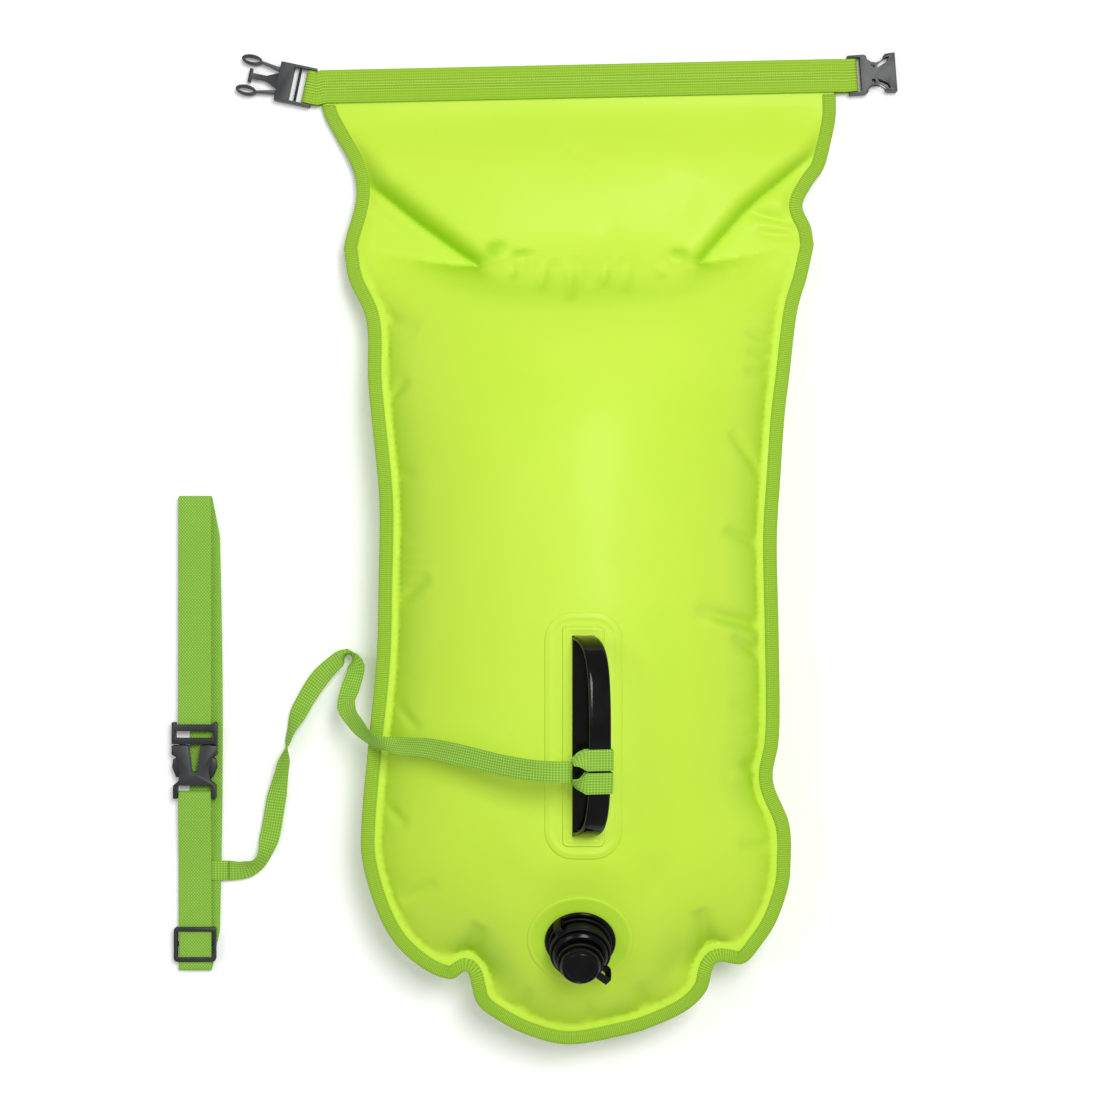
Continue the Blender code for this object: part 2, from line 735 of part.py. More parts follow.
def build_mouth(edge, finishes):
    """The hems, stiffener and webbing bands that roll up to close the dry bag."""
    frame = mouth_frame()
    turn = math.cos(math.atan(MOUTH_TURN_SHARE))
    left = edge.points[0].x / turn + TAPE + LAYER_GAP
    right = edge.points[-1].x / turn - TAPE - LAYER_GAP
    band_low, band_high = BAND_SETBACK, BAND_SETBACK + WEBBING_WIDTH
    top = band_high + MOUTH_LIP
    inner, outer = SKIN / 2 + LAYER_GAP, SKIN / 2 + LAYER_GAP + SKIN
    object_from("mouth_hem_front", box(left, right, LAYER_GAP, top, inner, outer), finishes["skin"], frame)
    object_from("mouth_hem_back", box(left, right, LAYER_GAP, top, -outer, -inner), finishes["skin"], frame)
    stiff_low = outer + LAYER_GAP
    stiff_high = stiff_low + STIFFENER
    middle = (band_low + band_high) / 2
    object_from("mouth_stiffener",
                box(left, right, middle - STIFFENER_WIDTH / 2, middle + STIFFENER_WIDTH / 2,
                    stiff_low, stiff_high), finishes["stiffener"], frame)
    back_low = outer + LAYER_GAP
    object_from("mouth_band_back",
                box(left, right, band_low, band_high, -back_low - BAND, -back_low), finishes["webbing"], frame)
    band_level = stiff_high + LAYER_GAP + BAND / 2
    tail_level = -(back_low + BAND + LAYER_GAP + BAND / 2)
    bars = edge.points[0].x / turn - PLUG_LEAD, edge.points[-1].x / turn + SOCKET_LEAD
    centres, widths = band_route(left, right, middle, band_level, tail_level, bars)
    object_from("mouth_band_front", ribbon(centres, widths, WEBBING_WIDTH, BAND), finishes["webbing"], frame)
    return middle, (band_level + tail_level) / 2, bars


def band_route(left, right, middle, band_level, tail_level, bars):
    """The front band: a tail under its left end, round the plug's bar, along the mouth, round the
    socket's bar and back under its right end."""
    turn_radius = (band_level - tail_level) / 2
    axis_level = (band_level + tail_level) / 2
    centres, widths = [], []

    def add_turn(bar_x, turn, upward):
        side = -1 if bar_x < 0 else 1
        out = Vector((side * math.cos(turn), side * math.sin(turn), 0))
        across = Vector((-out.y, out.x, 0)) * side
        levels = (tail_level, band_level) if upward else (band_level, tail_level)
        lead_in = Vector((bar_x, middle, 0)) - out * LOOP_LEAD
        centres.append(lead_in + Vector((0, 0, levels[0])))
        widths.append(across)
        for step in range(7):
            angle = math.pi * (step / 6 - 0.5) * (1 if upward else -1)
            place = Vector((bar_x, middle, axis_level)) + out * turn_radius * math.cos(angle)
            centres.append(place + Vector((0, 0, turn_radius * math.sin(angle))))
            widths.append(across)
        centres.append(lead_in + Vector((0, 0, levels[1])))
        widths.append(across)

    centres.append(Vector((left + BAND_TAIL, middle, tail_level)))
    widths.append(Vector((0, 1, 0)))
    centres.append(Vector((left + TAPE, middle, tail_level)))
    widths.append(Vector((0, 1, 0)))
    add_turn(bars[0], -PLUG_TURN, True)
    for x in (left + TAPE, right - TAPE):
        centres.append(Vector((x, middle, band_level)))
        widths.append(Vector((0, 1, 0)))
    add_turn(bars[1], SOCKET_TURN, False)
    centres.append(Vector((right - TAPE, middle, tail_level)))
    widths.append(Vector((0, 1, 0)))
    centres.append(Vector((right - BAND_TAIL, middle, tail_level)))
    widths.append(Vector((0, 1, 0)))
    return centres, widths


def build_plug(frame, finishes):
    """The closure's male half: its frame with the guide tongue, and two sprung arms."""
    black = finishes["buckle"]
    wide, thick = BUCKLE_HALF_WIDTH, BUCKLE_HALF_THICK
    body_start = PLUG_RAIL_LENGTH
    body_end = body_start + PLUG_BODY_LENGTH
    tongue_end = body_end + TONGUE_LENGTH
    back = -BAR_RADIUS - RAIL / 2
    plug = object_from("closure_plug", box(body_start, body_end, -wide, wide, -thick, thick), black, frame)
    rails = [object_from(f"plug_rail_{side}", box(back, body_start + OVERRUN, low, low + RAIL, -thick, thick),
                         black, frame)
             for side, low in (("a", -wide), ("b", wide - RAIL))]
    bar = object_from("plug_bar", rod(BAR_RADIUS, wide - RAIL / 2, (0, 0, 0), 10), black, frame)
    ladder_middle = (BAR_RADIUS + body_start) / 2 + BAR_RADIUS / 2
    ladder = object_from("plug_ladder", rod(BAR_RADIUS / 2, wide - RAIL / 2, (ladder_middle, 0, 0), 6),
                         black, frame)
    tongue_start = body_end - OVERRUN
    tongue = object_from("plug_tongue",
                         prism(((tongue_start, -GUSSET_HALF_WIDTH), (body_end, -GUSSET_HALF_WIDTH),
                                (body_end + GUSSET_LENGTH, -TONGUE_HALF_WIDTH),
                                (tongue_end - TONGUE_HEAD, -TONGUE_HALF_WIDTH),
                                (tongue_end - TONGUE_HEAD, -TONGUE_HEAD_HALF_WIDTH),
                                (tongue_end, -TONGUE_HEAD_HALF_WIDTH),
                                (tongue_end, TONGUE_HEAD_HALF_WIDTH),
                                (tongue_end - TONGUE_HEAD, TONGUE_HEAD_HALF_WIDTH),
                                (tongue_end - TONGUE_HEAD, TONGUE_HALF_WIDTH),
                                (body_end + GUSSET_LENGTH, TONGUE_HALF_WIDTH),
                                (body_end, GUSSET_HALF_WIDTH), (tongue_start, GUSSET_HALF_WIDTH)),
                               -TONGUE_HALF_WIDTH, TONGUE_HALF_WIDTH), black, frame)
    join(plug, *rails, bar, ladder, tongue)
    for name, side in (("closure_arm_lower", 1), ("closure_arm_upper", -1)):
        root = Matrix.Translation((body_end + LAYER_GAP, side * ARM_ROOT_OUT, 0))
        build_eye_arm(name, side, frame @ root, black)


def build_eye_arm(name, side, frame, black):
    """A flexing arm that ends in an oval eye; its origin is where it bends."""
    start, end = 0.0, ARM_BEAM_LENGTH
    drift = EYE_OUT - ARM_ROOT_OUT
    half = ARM_BEAM / 2
    beam_end = end + EYE_WALL
    beam = prism(((start, -half), (beam_end, side * drift - half / 2),
                  (beam_end, side * drift + half / 2), (start, half)), -ARM_HALF_THICK, ARM_HALF_THICK)
    arm = object_from(name, beam, black, frame)
    eye_middle = end + EYE_HALF_LENGTH
    steps = 16
    rim, hole = (
        [(eye_middle + (EYE_HALF_LENGTH - wall) * math.cos(math.tau * i / steps),
          side * drift + (EYE_HALF_WIDTH - wall) * math.sin(math.tau * i / steps)) for i in range(steps)]
        for wall in (0.0, EYE_WALL))
    eye = object_from(name + "_eye", prism(rim, -ARM_HALF_THICK, ARM_HALF_THICK), black, frame)
    window = object_from(name + "_hole", prism(hole, -2 * ARM_HALF_THICK, 2 * ARM_HALF_THICK), black, frame)
    join(arm, eye)
    cut(arm, window)


def build_socket(frame, finishes):
    """The closure's female half: a waisted shell, open at its mouth and at its sides."""
    black = finishes["buckle"]
    wide, waist, thick = BUCKLE_HALF_WIDTH, SOCKET_WAIST_HALF_WIDTH, BUCKLE_HALF_THICK
    back = -BAR_RADIUS - RAIL / 2
    block_start = BAR_RADIUS + RAIL + 2 * BAND
    block_end = block_start + SOCKET_BLOCK
    mouth_start = SOCKET_LENGTH - SOCKET_MOUTH_LENGTH
    middle = (block_end + mouth_start) / 2
    side = [(back, -wide), (block_end - RAIL, -wide)]
    steps = 6
    for step in range(steps + 1):
        angle = math.pi * (step / steps)
        side.append((middle - (middle - block_end) * math.cos(angle),
                     -wide + RAIL / 2 + (wide - waist - RAIL / 2) * math.sin(angle)))
    side += [(mouth_start + RAIL, -wide + RAIL / 4), (SOCKET_LENGTH, -wide)]
    outline = side + [(x, -y) for x, y in reversed(side)]
    shell = object_from("closure_socket", prism(outline, -thick, thick), black, frame)
    cavity_half = wide - SOCKET_WALL
    cavity = object_from("socket_cavity",
                         box(block_end, SOCKET_LENGTH + OVERRUN, -cavity_half, cavity_half,
                             -ARM_HALF_THICK - RUN_GAP, ARM_HALF_THICK + RUN_GAP), black, frame)
    slot = object_from("socket_slot",
                       box(back - OVERRUN, block_start, -wide + RAIL, wide - RAIL, -thick - OVERRUN,
                           thick + OVERRUN), black, frame)
    bar = object_from("socket_bar", rod(BAR_RADIUS, wide - RAIL / 2, (0, 0, 0), 10), black, frame)
    windows = []
    for label, across in (("a", 1), ("b", -1)):
        near, far = waist / 2, waist - RAIL / 2
        rear = [(middle - 2 * RAIL, near), (middle - RAIL / 2, near + RAIL / 4), (middle - RAIL / 2, far),
                (middle - 2 * RAIL, far)]
        front = [(middle + RAIL / 2, near), (mouth_start + RAIL, waist), (mouth_start + 2 * RAIL, wide - 3 * RAIL / 2),
                 (mouth_start, wide - 2 * RAIL), (middle + RAIL, far)]
        for place, plan in (("rear", rear), ("front", front)):
            windows.append(object_from(f"socket_window_{place}_{label}",
                                       prism([(x, across * y) for x, y in plan], -thick - OVERRUN,
                                             thick + OVERRUN), black, frame))
    cut(shell, cavity, slot, *windows)
    join(shell, bar)


def patch_of(sheet, name, outline, frame, low, finish):
    """A welded patch: the part of the skin's sheet inside an outline, raised by low off the sheet."""
    region = sheet.copy()
    axes = frame.to_3x3()
    for (x, y), (next_x, next_y) in zip(outline, outline[1:] + outline[:1]):
        side = axes @ Vector((next_y - y, x - next_x, 0))
        bmesh.ops.bisect_plane(region, geom=region.verts[:] + region.edges[:] + region.faces[:],
                               plane_co=frame @ Vector((x, y, 0)), plane_no=side, clear_outer=True)
    patch = object_from(name, sheet_solid(region, low, low + PATCH), finish, smooth=True)
    region.free()
    return patch


def build_handle(sheet, finishes):
    """The welded patches, the base strap on them and the arched grip."""
    frame = Matrix.Translation((HANDLE_ACROSS, HANDLE_ALONG, 0))
    skin_top = SKIN / 2 + LAYER_GAP + SKIN
    patch_of(sheet, "handle_patch", rounded_outline(PATCH_HALF_WIDTH, PATCH_HALF_LENGTH, PATCH_CORNER), frame,
             skin_top + LAYER_GAP, finishes["skin"])
    cover = patch_of(sheet, "handle_cover", rounded_outline(COVER_HALF_WIDTH, COVER_HALF_LENGTH, COVER_CORNER),
                     frame, skin_top + 2 * LAYER_GAP + PATCH, finishes["skin"])
    base_low = max(v.co.z for v in cover.data.vertices) + LAYER_GAP
    base_high = base_low + BASE_STRAP
    half = HANDLE_LENGTH / 2
    object_from("handle_base_strap",
                box(-STRAP_WIDTH / 2, STRAP_WIDTH / 2, -half, half, base_low, base_high), finishes["handle"],
                frame)
    pivot = Vector((HANDLE_ACROSS + STRAP_WIDTH / 2, HANDLE_ALONG, base_high + LAYER_GAP))
    line = grip_line()
    grip = ribbon(line, [grip_across(p) for p in line], STRAP_WIDTH, GRIP)
    grip.verts.ensure_lookup_table()
    for corner in grip.verts[:4] + grip.verts[-4:]:
        corner.co.z = 0
    object_from("handle_grip", grip, finishes["handle"], Matrix.Translation(pivot), smooth=True)
    return pivot


def grip_line():
    """The middle line of the grip from its pivot: an arch that leans to the right as it rises."""
    half_shares = GRIP_SHARES + tuple((-along, up) for along, up in reversed(GRIP_SHARES[:-1]))
    rise, reach = HANDLE_HEIGHT - GRIP / 2, (HANDLE_LENGTH - GRIP) / 2
    points = [(up * HANDLE_LEAN - STRAP_WIDTH / 2, along * reach, up * rise) for along, up in half_shares]
    return smooth_line(points, 30)


def grip_across(point):
    """The direction of the grip's width at a point of its line."""
    rise = HANDLE_HEIGHT - GRIP / 2
    tilt = math.atan2(HANDLE_LEAN, rise) * point.z / rise
    return Vector((math.cos(tilt), 0, -math.sin(tilt)))


def build_hitch(pivot, finishes):
    """The leash's two wraps round the grip; the leash meets them at their left ends."""
    line = grip_line()
    clear = GRIP / 2 + RUN_GAP + LEASH / 2 + LAYER_GAP
    half = STRAP_WIDTH / 2
    for name, side in (("leash_wrap_front", 1), ("leash_wrap_rear", -1)):
        wanted = HITCH_ALONG - pivot.y + side * WRAP_SPREAD
        at = min(range(1, len(line) - 1), key=lambda i: abs(line[i].y - wanted))
        right = grip_across(line[at])
        along = line[at + 1] - line[at - 1]
        along = (along - right * along.dot(right)).normalized()
        up = right.cross(along)
        if up.z < 0:
            along, up = -along, -up
        centre = line[at] + along * (wanted - line[at].y) / along.y
        turn_off = half + HITCH_NECK / 5
        loop = [(-turn_off, clear), (0, clear), (half, clear)]
        loop += [(half + clear * math.cos(angle) * 0.5, clear * math.sin(angle))
                 for angle in (math.pi * (0.5 - step / 5) for step in range(1, 5))]
        loop += [(half, -clear), (0, -clear), (-turn_off, -clear)]
        centres = [centre + right * out + up * level for out, level in loop]
        pulled = -side * (WRAP_SPREAD - WRAP_WIDTH / 2 - LAYER_GAP)
        for end, level in ((0, LEASH / 2 + LAYER_GAP), (-1, -LEASH / 2 - LAYER_GAP)):
            for out in (half + HITCH_NECK * 0.75, half + HITCH_NECK):
                neck = centre - right * out + along * pulled + up * level
                centres.insert(0 if end == 0 else len(centres), neck)
        object_from(name, ribbon(centres, [along] * len(centres), WRAP_WIDTH, LEASH), finishes["leash"],
                    Matrix.Translation(pivot))


def leash_place(across_share, along_share, up_share):
    over_float = max(across_share, -1.0) * FLOAT_HALF_WIDTH
    beyond = min(across_share + 1.0, 0.0) * BELT_AWAY
    return Vector((over_float + beyond, along_share * FLOAT_BELOW, up_share * (SEAM_HEIGHT + FRONT_RISE)))


def build_leash(finishes):
    steps = 62
    line = smooth_line([leash_place(*p) for p, _ in LEASH_ROUTE_SHARES], steps)
    length = sum((b - a).length for a, b in zip(line, line[1:]))
    print(f"leash length {length:.3f} m")
    object_from("leash", ribbon(line, widths_at(line), LEASH_WIDTH, LEASH), finishes["leash"])


def widths_at(line):
    """The width directions of the leash at points of its line, from the nearest stretch of its route."""
    places = [leash_place(*p) for p, _ in LEASH_ROUTE_SHARES]
    directions = [Vector(w) for _, w in LEASH_ROUTE_SHARES]
    found = []
    at = 0
    for point in line:
        while at < len(places) - 2 and (point - places[at + 1]).length < (point - places[at]).length \
                and (point - places[at + 1]).dot(places[at + 2] - places[at + 1]) > 0:
            at += 1
        span = places[at + 1] - places[at]
        share = smoothstep((point - places[at]).dot(span) / span.length_squared)
        found.append(mixed(directions[at], directions[at + 1], share))
    return found


def valve_frame(front_skin):
    """The valve's own frame: its origin on the skin, its Z along the skin's normal there."""
    tree = surface_of(front_skin)
    above = Vector((VALVE_ACROSS, VALVE_ALONG, SEAM_HEIGHT + 2 * FRONT_RISE))
    place, normal, _, _ = tree.ray_cast(above, Vector((0, 0, -1)))
    if normal.z < 0:
        normal = -normal
    side = Vector((1, 0, 0))
    side = (side - normal * side.dot(normal)).normalized()
    axes = Matrix((side, normal.cross(side), normal)).transposed().to_4x4()
    return Matrix.Translation(place) @ axes


def build_valve(front_skin, sheet, finishes):
    """A screw valve: base, body with its one-way flap, cap, and the two tethers that keep them."""
    frame = valve_frame(front_skin)
    black = finishes["valve"]
    outline = [(VALVE_PATCH_RADIUS * math.cos(math.tau * i / ROUND_SIDES),
                VALVE_PATCH_RADIUS * math.sin(math.tau * i / ROUND_SIDES)) for i in range(ROUND_SIDES)]
    hole = BARREL_RADIUS + RUN_GAP + LAYER_GAP
    patch = patch_of(sheet, "valve_patch", outline, frame, SKIN / 2 + 2 * LAYER_GAP + SKIN, finishes["skin"])
    reach = BARREL_DEPTH + COLLAR_TOP
    cutter = object_from("valve_hole", turned(((0, -reach), (hole, -reach), (hole, reach), (0, reach))),
                         black, frame)
    cut(front_skin, cutter)
    cut(patch, cutter)
    object_from("valve_base", turned((
        (BORE_RADIUS, -BARREL_DEPTH), (BARREL_RADIUS, -BARREL_DEPTH), (BARREL_RADIUS, FLANGE_FOOT),
        (FLANGE_RADIUS, FLANGE_FOOT - LAYER_GAP), (FLANGE_RADIUS, FLANGE_FOOT + FLANGE / 2),
        ((FLANGE_RADIUS + COLLAR_RADIUS) / 2, FLANGE_FOOT + FLANGE), (COLLAR_RADIUS, FLANGE_FOOT + FLANGE),
        (COLLAR_RADIUS, COLLAR_TOP), (NECK_RADIUS, COLLAR_TOP), (NECK_RADIUS, NECK_TOP),
        (BORE_RADIUS, NECK_TOP))), black, frame, smooth=True)
    seal_low = NECK_TOP + LAYER_GAP
    seal_high = seal_low + SEAL
    object_from("valve_seal", turned((
        (BORE_RADIUS + SEAL, seal_low), (NECK_RADIUS - SEAL, seal_low), (NECK_RADIUS - SEAL, seal_high),
        (BORE_RADIUS + SEAL, seal_high))), finishes["rubber"], frame, smooth=True)
    plate_low = seal_high + LAYER_GAP
    plate_high = plate_low + BODY_PLATE
    object_from("valve_body", turned((
        (NECK_RADIUS + RUN_GAP, COLLAR_TOP + RUN_GAP), (BODY_RADIUS, COLLAR_TOP + RUN_GAP),
        (BODY_RADIUS, plate_high - FLANGE), (BODY_RADIUS - FLANGE, plate_high), (STEM_RADIUS, plate_high),
        (STEM_RADIUS, STEM_TOP), (STEM_BORE_RADIUS, STEM_TOP), (STEM_BORE_RADIUS, plate_low),
        (NECK_RADIUS + RUN_GAP, plate_low))), black, frame, smooth=True)
    object_from("valve_flap", turned((
        (0, plate_low - LAYER_GAP - FLAP), (FLAP_RADIUS, plate_low - LAYER_GAP - FLAP),
        (FLAP_RADIUS, plate_low - LAYER_GAP), (0, plate_low - LAYER_GAP))), finishes["rubber"], frame)
    cap_low = plate_high + RUN_GAP
    inside = STEM_TOP + RUN_GAP
    object_from("valve_cap", turned((
        (STEM_RADIUS + RUN_GAP, cap_low), (CAP_RADIUS, cap_low), (CAP_RADIUS, CAP_TOP - CAP_CROWN),
        (CAP_RADIUS - CAP_CROWN, CAP_TOP), (0, CAP_TOP), (0, inside),
        (STEM_RADIUS + RUN_GAP, inside))), black, frame, smooth=True)
    body_ring = (COLLAR_TOP + plate_high) / 2 - TETHER / 2
    build_tether("body_tether", COLLAR_RADIUS, FLANGE_FOOT + FLANGE + LAYER_GAP, BODY_RADIUS, body_ring,
                 math.radians(128), frame, finishes)
    build_tether("cap_tether", BODY_RADIUS, body_ring - TETHER - 2 * LAYER_GAP, CAP_RADIUS,
                 (cap_low + CAP_TOP - CAP_CROWN) / 2 - TETHER / 2, math.radians(-40), frame, finishes)
    return frame


def tether_ring(radius, low, frame, name, finishes):
    inner = radius + RUN_GAP
    outer = inner + TETHER
    return object_from(name, turned(((inner, low), (outer, low), (outer, low + TETHER), (inner, low + TETHER))),
                       finishes["rubber"], frame)


def build_tether(name, low_radius, low, high_radius, high, angle, frame, finishes):
    """A soft leash of two rings, each free on its own piece, with a strap that bulges out between them."""
    tether = tether_ring(low_radius, low, frame, name, finishes)
    upper = tether_ring(high_radius, high, frame, name + "_upper", finishes)
    low_out, high_out = low_radius + RUN_GAP + TETHER / 2, high_radius + RUN_GAP + TETHER / 2
    bulge = max(low_out, high_out) + TETHER_BULGE
    level, top = low + TETHER / 2, high + TETHER / 2
    turn = frame @ Matrix.Rotation(angle, 4, "Z")
    centres = ((low_out, 0, level), (bulge - TETHER, 0, level), (bulge, 0, level + TETHER),
               (bulge, 0, top - TETHER / 2), (bulge - TETHER, 0, top + TETHER / 4), (high_out, 0, top))
    strap = object_from(name + "_strap", ribbon(centres, [(0, 1, 0)] * len(centres), TETHER_WIDTH, TETHER * 0.8),
                        finishes["rubber"], turn)
    join(tether, upper, strap)


def arc_points(centre_y, centre_z, radius, start, end, steps):
    """Points of a turn in the YZ plane."""
    return [(centre_y + radius * math.cos(mixed(start, end, i / steps)),
             centre_z + radius * math.sin(mixed(start, end, i / steps))) for i in range(steps + 1)]


class BeltLevels:
    """Heights of the belt's layers and of what they thread through."""

    buckle_low = BELT_BUCKLE_FOOT
    buckle_high = BELT_BUCKLE_FOOT + BELT_BUCKLE_THICK
    turn = BELT_BAR_RADIUS + RUN_GAP + BELT / 2
    frame_bar = BELT_BUCKLE_FOOT + BELT + 2 * RUN_GAP + BELT_BAR_RADIUS
    clasp_bar = frame_bar + BELT / 2
    adjuster_low = BELT_BACK_HEIGHT + BELT / 2 + RUN_GAP
    threaded = adjuster_low + ADJUSTER_DEPTH + ADJUSTER_CHANNEL / 2
    frame_bar_y = BELT_BUCKLE_TOP - BELT_RAIL
    clasp_end = BELT_BUCKLE_TOP - FRAME_LENGTH - RUN_GAP - CLASP_LENGTH
    clasp_bar_y = clasp_end + BELT_RAIL


def belt_route():
    """The belt's webbing in the YZ plane: tail, frame's bar, front, top fold, back, bottom fold,
    adjuster, clasp's bar, tail."""
    levels = BeltLevels
    top_z = levels.frame_bar + levels.turn
    fold = (top_z - BELT / 2 - BELT_BACK_HEIGHT) / 2
    low_fold = (levels.threaded - BELT_BACK_HEIGHT) / 2
    route = [(levels.frame_bar_y + BELT_TAIL, levels.frame_bar - levels.turn)]
    route += arc_points(levels.frame_bar_y, levels.frame_bar, levels.turn, -math.pi / 2, -3 * math.pi / 2, 5)
    front = levels.frame_bar_y + BELT_BUCKLE_THICK
    peak = BELT_TOP - fold
    route += [(mixed(front, peak, s), top_z - BELT / 2 * smoothstep(s * 3)) for s in (0.0, 0.15, 0.4, 0.7)]
    route += arc_points(peak, BELT_BACK_HEIGHT + fold, fold, math.pi / 2, -math.pi / 2, 6)
    foot = BELT_BOTTOM + low_fold
    route += [(mixed(peak, foot, s), BELT_BACK_HEIGHT) for s in (0.03, 0.08, 0.2, 0.35, 0.5, 0.65, 0.8, 0.92, 0.97)]
    route += arc_points(foot, BELT_BACK_HEIGHT + low_fold, low_fold, -math.pi / 2, -3 * math.pi / 2, 6)
    slide_top = ADJUSTER_ALONG + 4 * ADJUSTER_HALF_LENGTH
    route += [(slide_top, levels.threaded)]
    climb_end = levels.clasp_bar_y - levels.turn - BELT
    climb = levels.clasp_bar + levels.turn
    route += [(mixed(slide_top, climb_end, s), mixed(levels.threaded, climb, smoothstep(s)))
              for s in (0.33, 0.67, 1.0)]
    route += arc_points(levels.clasp_bar_y, levels.clasp_bar, levels.turn, math.pi / 2, -math.pi / 2, 5)
    route += [(levels.clasp_bar_y - BELT_TAIL, levels.clasp_bar - levels.turn)]
    return route


def belt_across(y, z):
    """The front layer lies straight; the back one comes out from under it on the right."""
    if z > BELT_BACK_HEIGHT + BELT:
        return -BELT_FRONT_OUT
    from_fold = min(BELT_TOP - y, y - BELT_BOTTOM)
    share = (y - BELT_BOTTOM) / (BELT_TOP - BELT_BOTTOM)
    bow = math.sin(math.pi * clamp(share, 0.0, 1.0))
    return -BELT_FRONT_OUT + smoothstep(from_fold / SHIFT_RUN) * mixed(BACK_SHIFT, BACK_SHIFT_MIDDLE, bow)


def build_belt(finishes):
    route = belt_route()
    centres = [Vector((belt_across(y, z), y, z)) for y, z in route]
    object_from("waist_belt", ribbon(centres, [(1, 0, 0)] * len(centres), WEBBING_WIDTH, BELT),
                finishes["belt"])
    build_belt_buckle(finishes)
    build_adjuster(finishes)
    build_belt_loop(finishes)


def build_belt_buckle(finishes):
    """The belt's closed buckle: frame, two sprung arms and the clasp that they lock into."""
    black = finishes["buckle"]
    levels = BeltLevels
    low, high = levels.buckle_low, levels.buckle_high
    wide = BELT_BUCKLE_HALF_WIDTH
    inner = wide - BELT_RAIL
    frame = Matrix.Translation((-BELT_FRONT_OUT, 0, 0))
    top, bottom = BELT_BUCKLE_TOP, BELT_BUCKLE_TOP - FRAME_LENGTH
    block_top = bottom + FRAME_BLOCK
    plug = object_from("belt_frame", box(-wide, wide, bottom, block_top, low, high), black, frame)
    rails = [object_from(f"belt_rail_{side}", box(start, start + BELT_RAIL, block_top - OVERRUN, top, low, high),
                         black, frame)
             for side, start in (("a", -wide), ("b", inner))]
    sideways = frame @ Matrix.Translation((0, levels.frame_bar_y, levels.frame_bar)) \
        @ Matrix.Rotation(math.pi / 2, 4, "Z")
    bar = object_from("belt_frame_bar", rod(BELT_BAR_RADIUS, inner + BELT_RAIL / 2, (0, 0, 0), 8), black, sideways)
    cover_low = levels.frame_bar + levels.turn + BELT / 2 + RUN_GAP
    cover = object_from("belt_cover_bar",
                        box(-inner - OVERRUN / 2, inner + OVERRUN / 2, top - BELT_RAIL / 2 - COVER_BAR,
                            top - BELT_RAIL / 2, cover_low, high), black, frame)
    join(plug, *rails, bar, cover)
    middle = (low + high) / 2
    half = ARM_HALF_THICK
    clasp_top = bottom - RUN_GAP
    reach = CLASP_LENGTH - CLASP_LEG - BELT_RAIL
    for name, side in (("belt_arm_left", -1), ("belt_arm_right", 1)):
        root_in, root_out = wide * 0.43, wide * 0.72
        neck = clasp_top - reach * 0.33
        outline = ((root_in, 0), (root_out, 0), (root_out, neck - clasp_top), (wide * 0.95, neck - clasp_top - RAIL),
                   (wide * 0.99, -reach * 0.62), (wide * 0.82, -reach * 0.88), (wide * 0.55, -reach * 0.90),
                   (root_in, -reach * 0.5))
        pivot = frame @ Matrix.Translation((side * (root_in + root_out) / 2, clasp_top, middle))
        shift = (root_in + root_out) / 2
        object_from(name, prism([(side * (x - shift), y) for x, y in outline], -half, half), black, pivot)
    build_clasp(finishes, frame, clasp_top, reach)


def build_clasp(finishes, frame, clasp_top, reach):
    """The female half: two plates with a notch between them, walls at the mouth, legs and a bar."""
    black = finishes["buckle"]
    levels = BeltLevels
    low, high = levels.buckle_low, levels.buckle_high
    wide = BELT_BUCKLE_HALF_WIDTH
    waist = wide * 0.70
    mouth_end = clasp_top - reach * 0.27
    leg_top = clasp_top - reach - BELT_RAIL
    end = levels.clasp_end
    side = [(wide, clasp_top - 2 * RUN_GAP), (wide, mouth_end), (waist + RAIL, mouth_end - RAIL),
            (waist - RAIL / 2, (mouth_end + leg_top) / 2), (waist, leg_top + 2 * RAIL),
            (wide * 0.94, leg_top), (wide * 0.94, end)]
    clasp = object_from("belt_clasp", prism(side + [(-x, y) for x, y in reversed(side)], low, high), black, frame)
    middle = (low + high) / 2
    wall = wide - CLASP_WALL
    cavity = object_from("clasp_cavity",
                         box(-wall, wall, clasp_top - reach * 0.93, clasp_top + OVERRUN,
                             middle - ARM_HALF_THICK - RUN_GAP, middle + ARM_HALF_THICK + RUN_GAP), black, frame)
    side_room = object_from("clasp_side_room",
                            box(-2 * wide, 2 * wide, clasp_top - reach * 0.93, mouth_end,
                                middle - ARM_HALF_THICK - RUN_GAP, middle + ARM_HALF_THICK + RUN_GAP), black, frame)
    notch_top, notch_low = wide * 0.29, wide * 0.13
    notch = object_from("clasp_notch",
                        prism(((-notch_top, clasp_top + OVERRUN), (-notch_low, clasp_top - reach * 0.74),
                               (notch_low, clasp_top - reach * 0.74), (notch_top, clasp_top + OVERRUN)),
                              low - OVERRUN, high + OVERRUN), black, frame)
    strap_half = WEBBING_WIDTH / 2 + RUN_GAP
    slot = object_from("clasp_slot", box(-strap_half, strap_half, end - OVERRUN, end + CLASP_LEG,
                                         low - OVERRUN, high + OVERRUN), black, frame)
    cut(clasp, cavity, side_room, notch, slot)
    sideways = frame @ Matrix.Translation((0, levels.clasp_bar_y, levels.clasp_bar)) \
        @ Matrix.Rotation(math.pi / 2, 4, "Z")
    join(clasp, object_from("clasp_bar", rod(BELT_BAR_RADIUS, strap_half + BELT_RAIL / 3, (0, 0, 0), 8), black,
                            sideways))


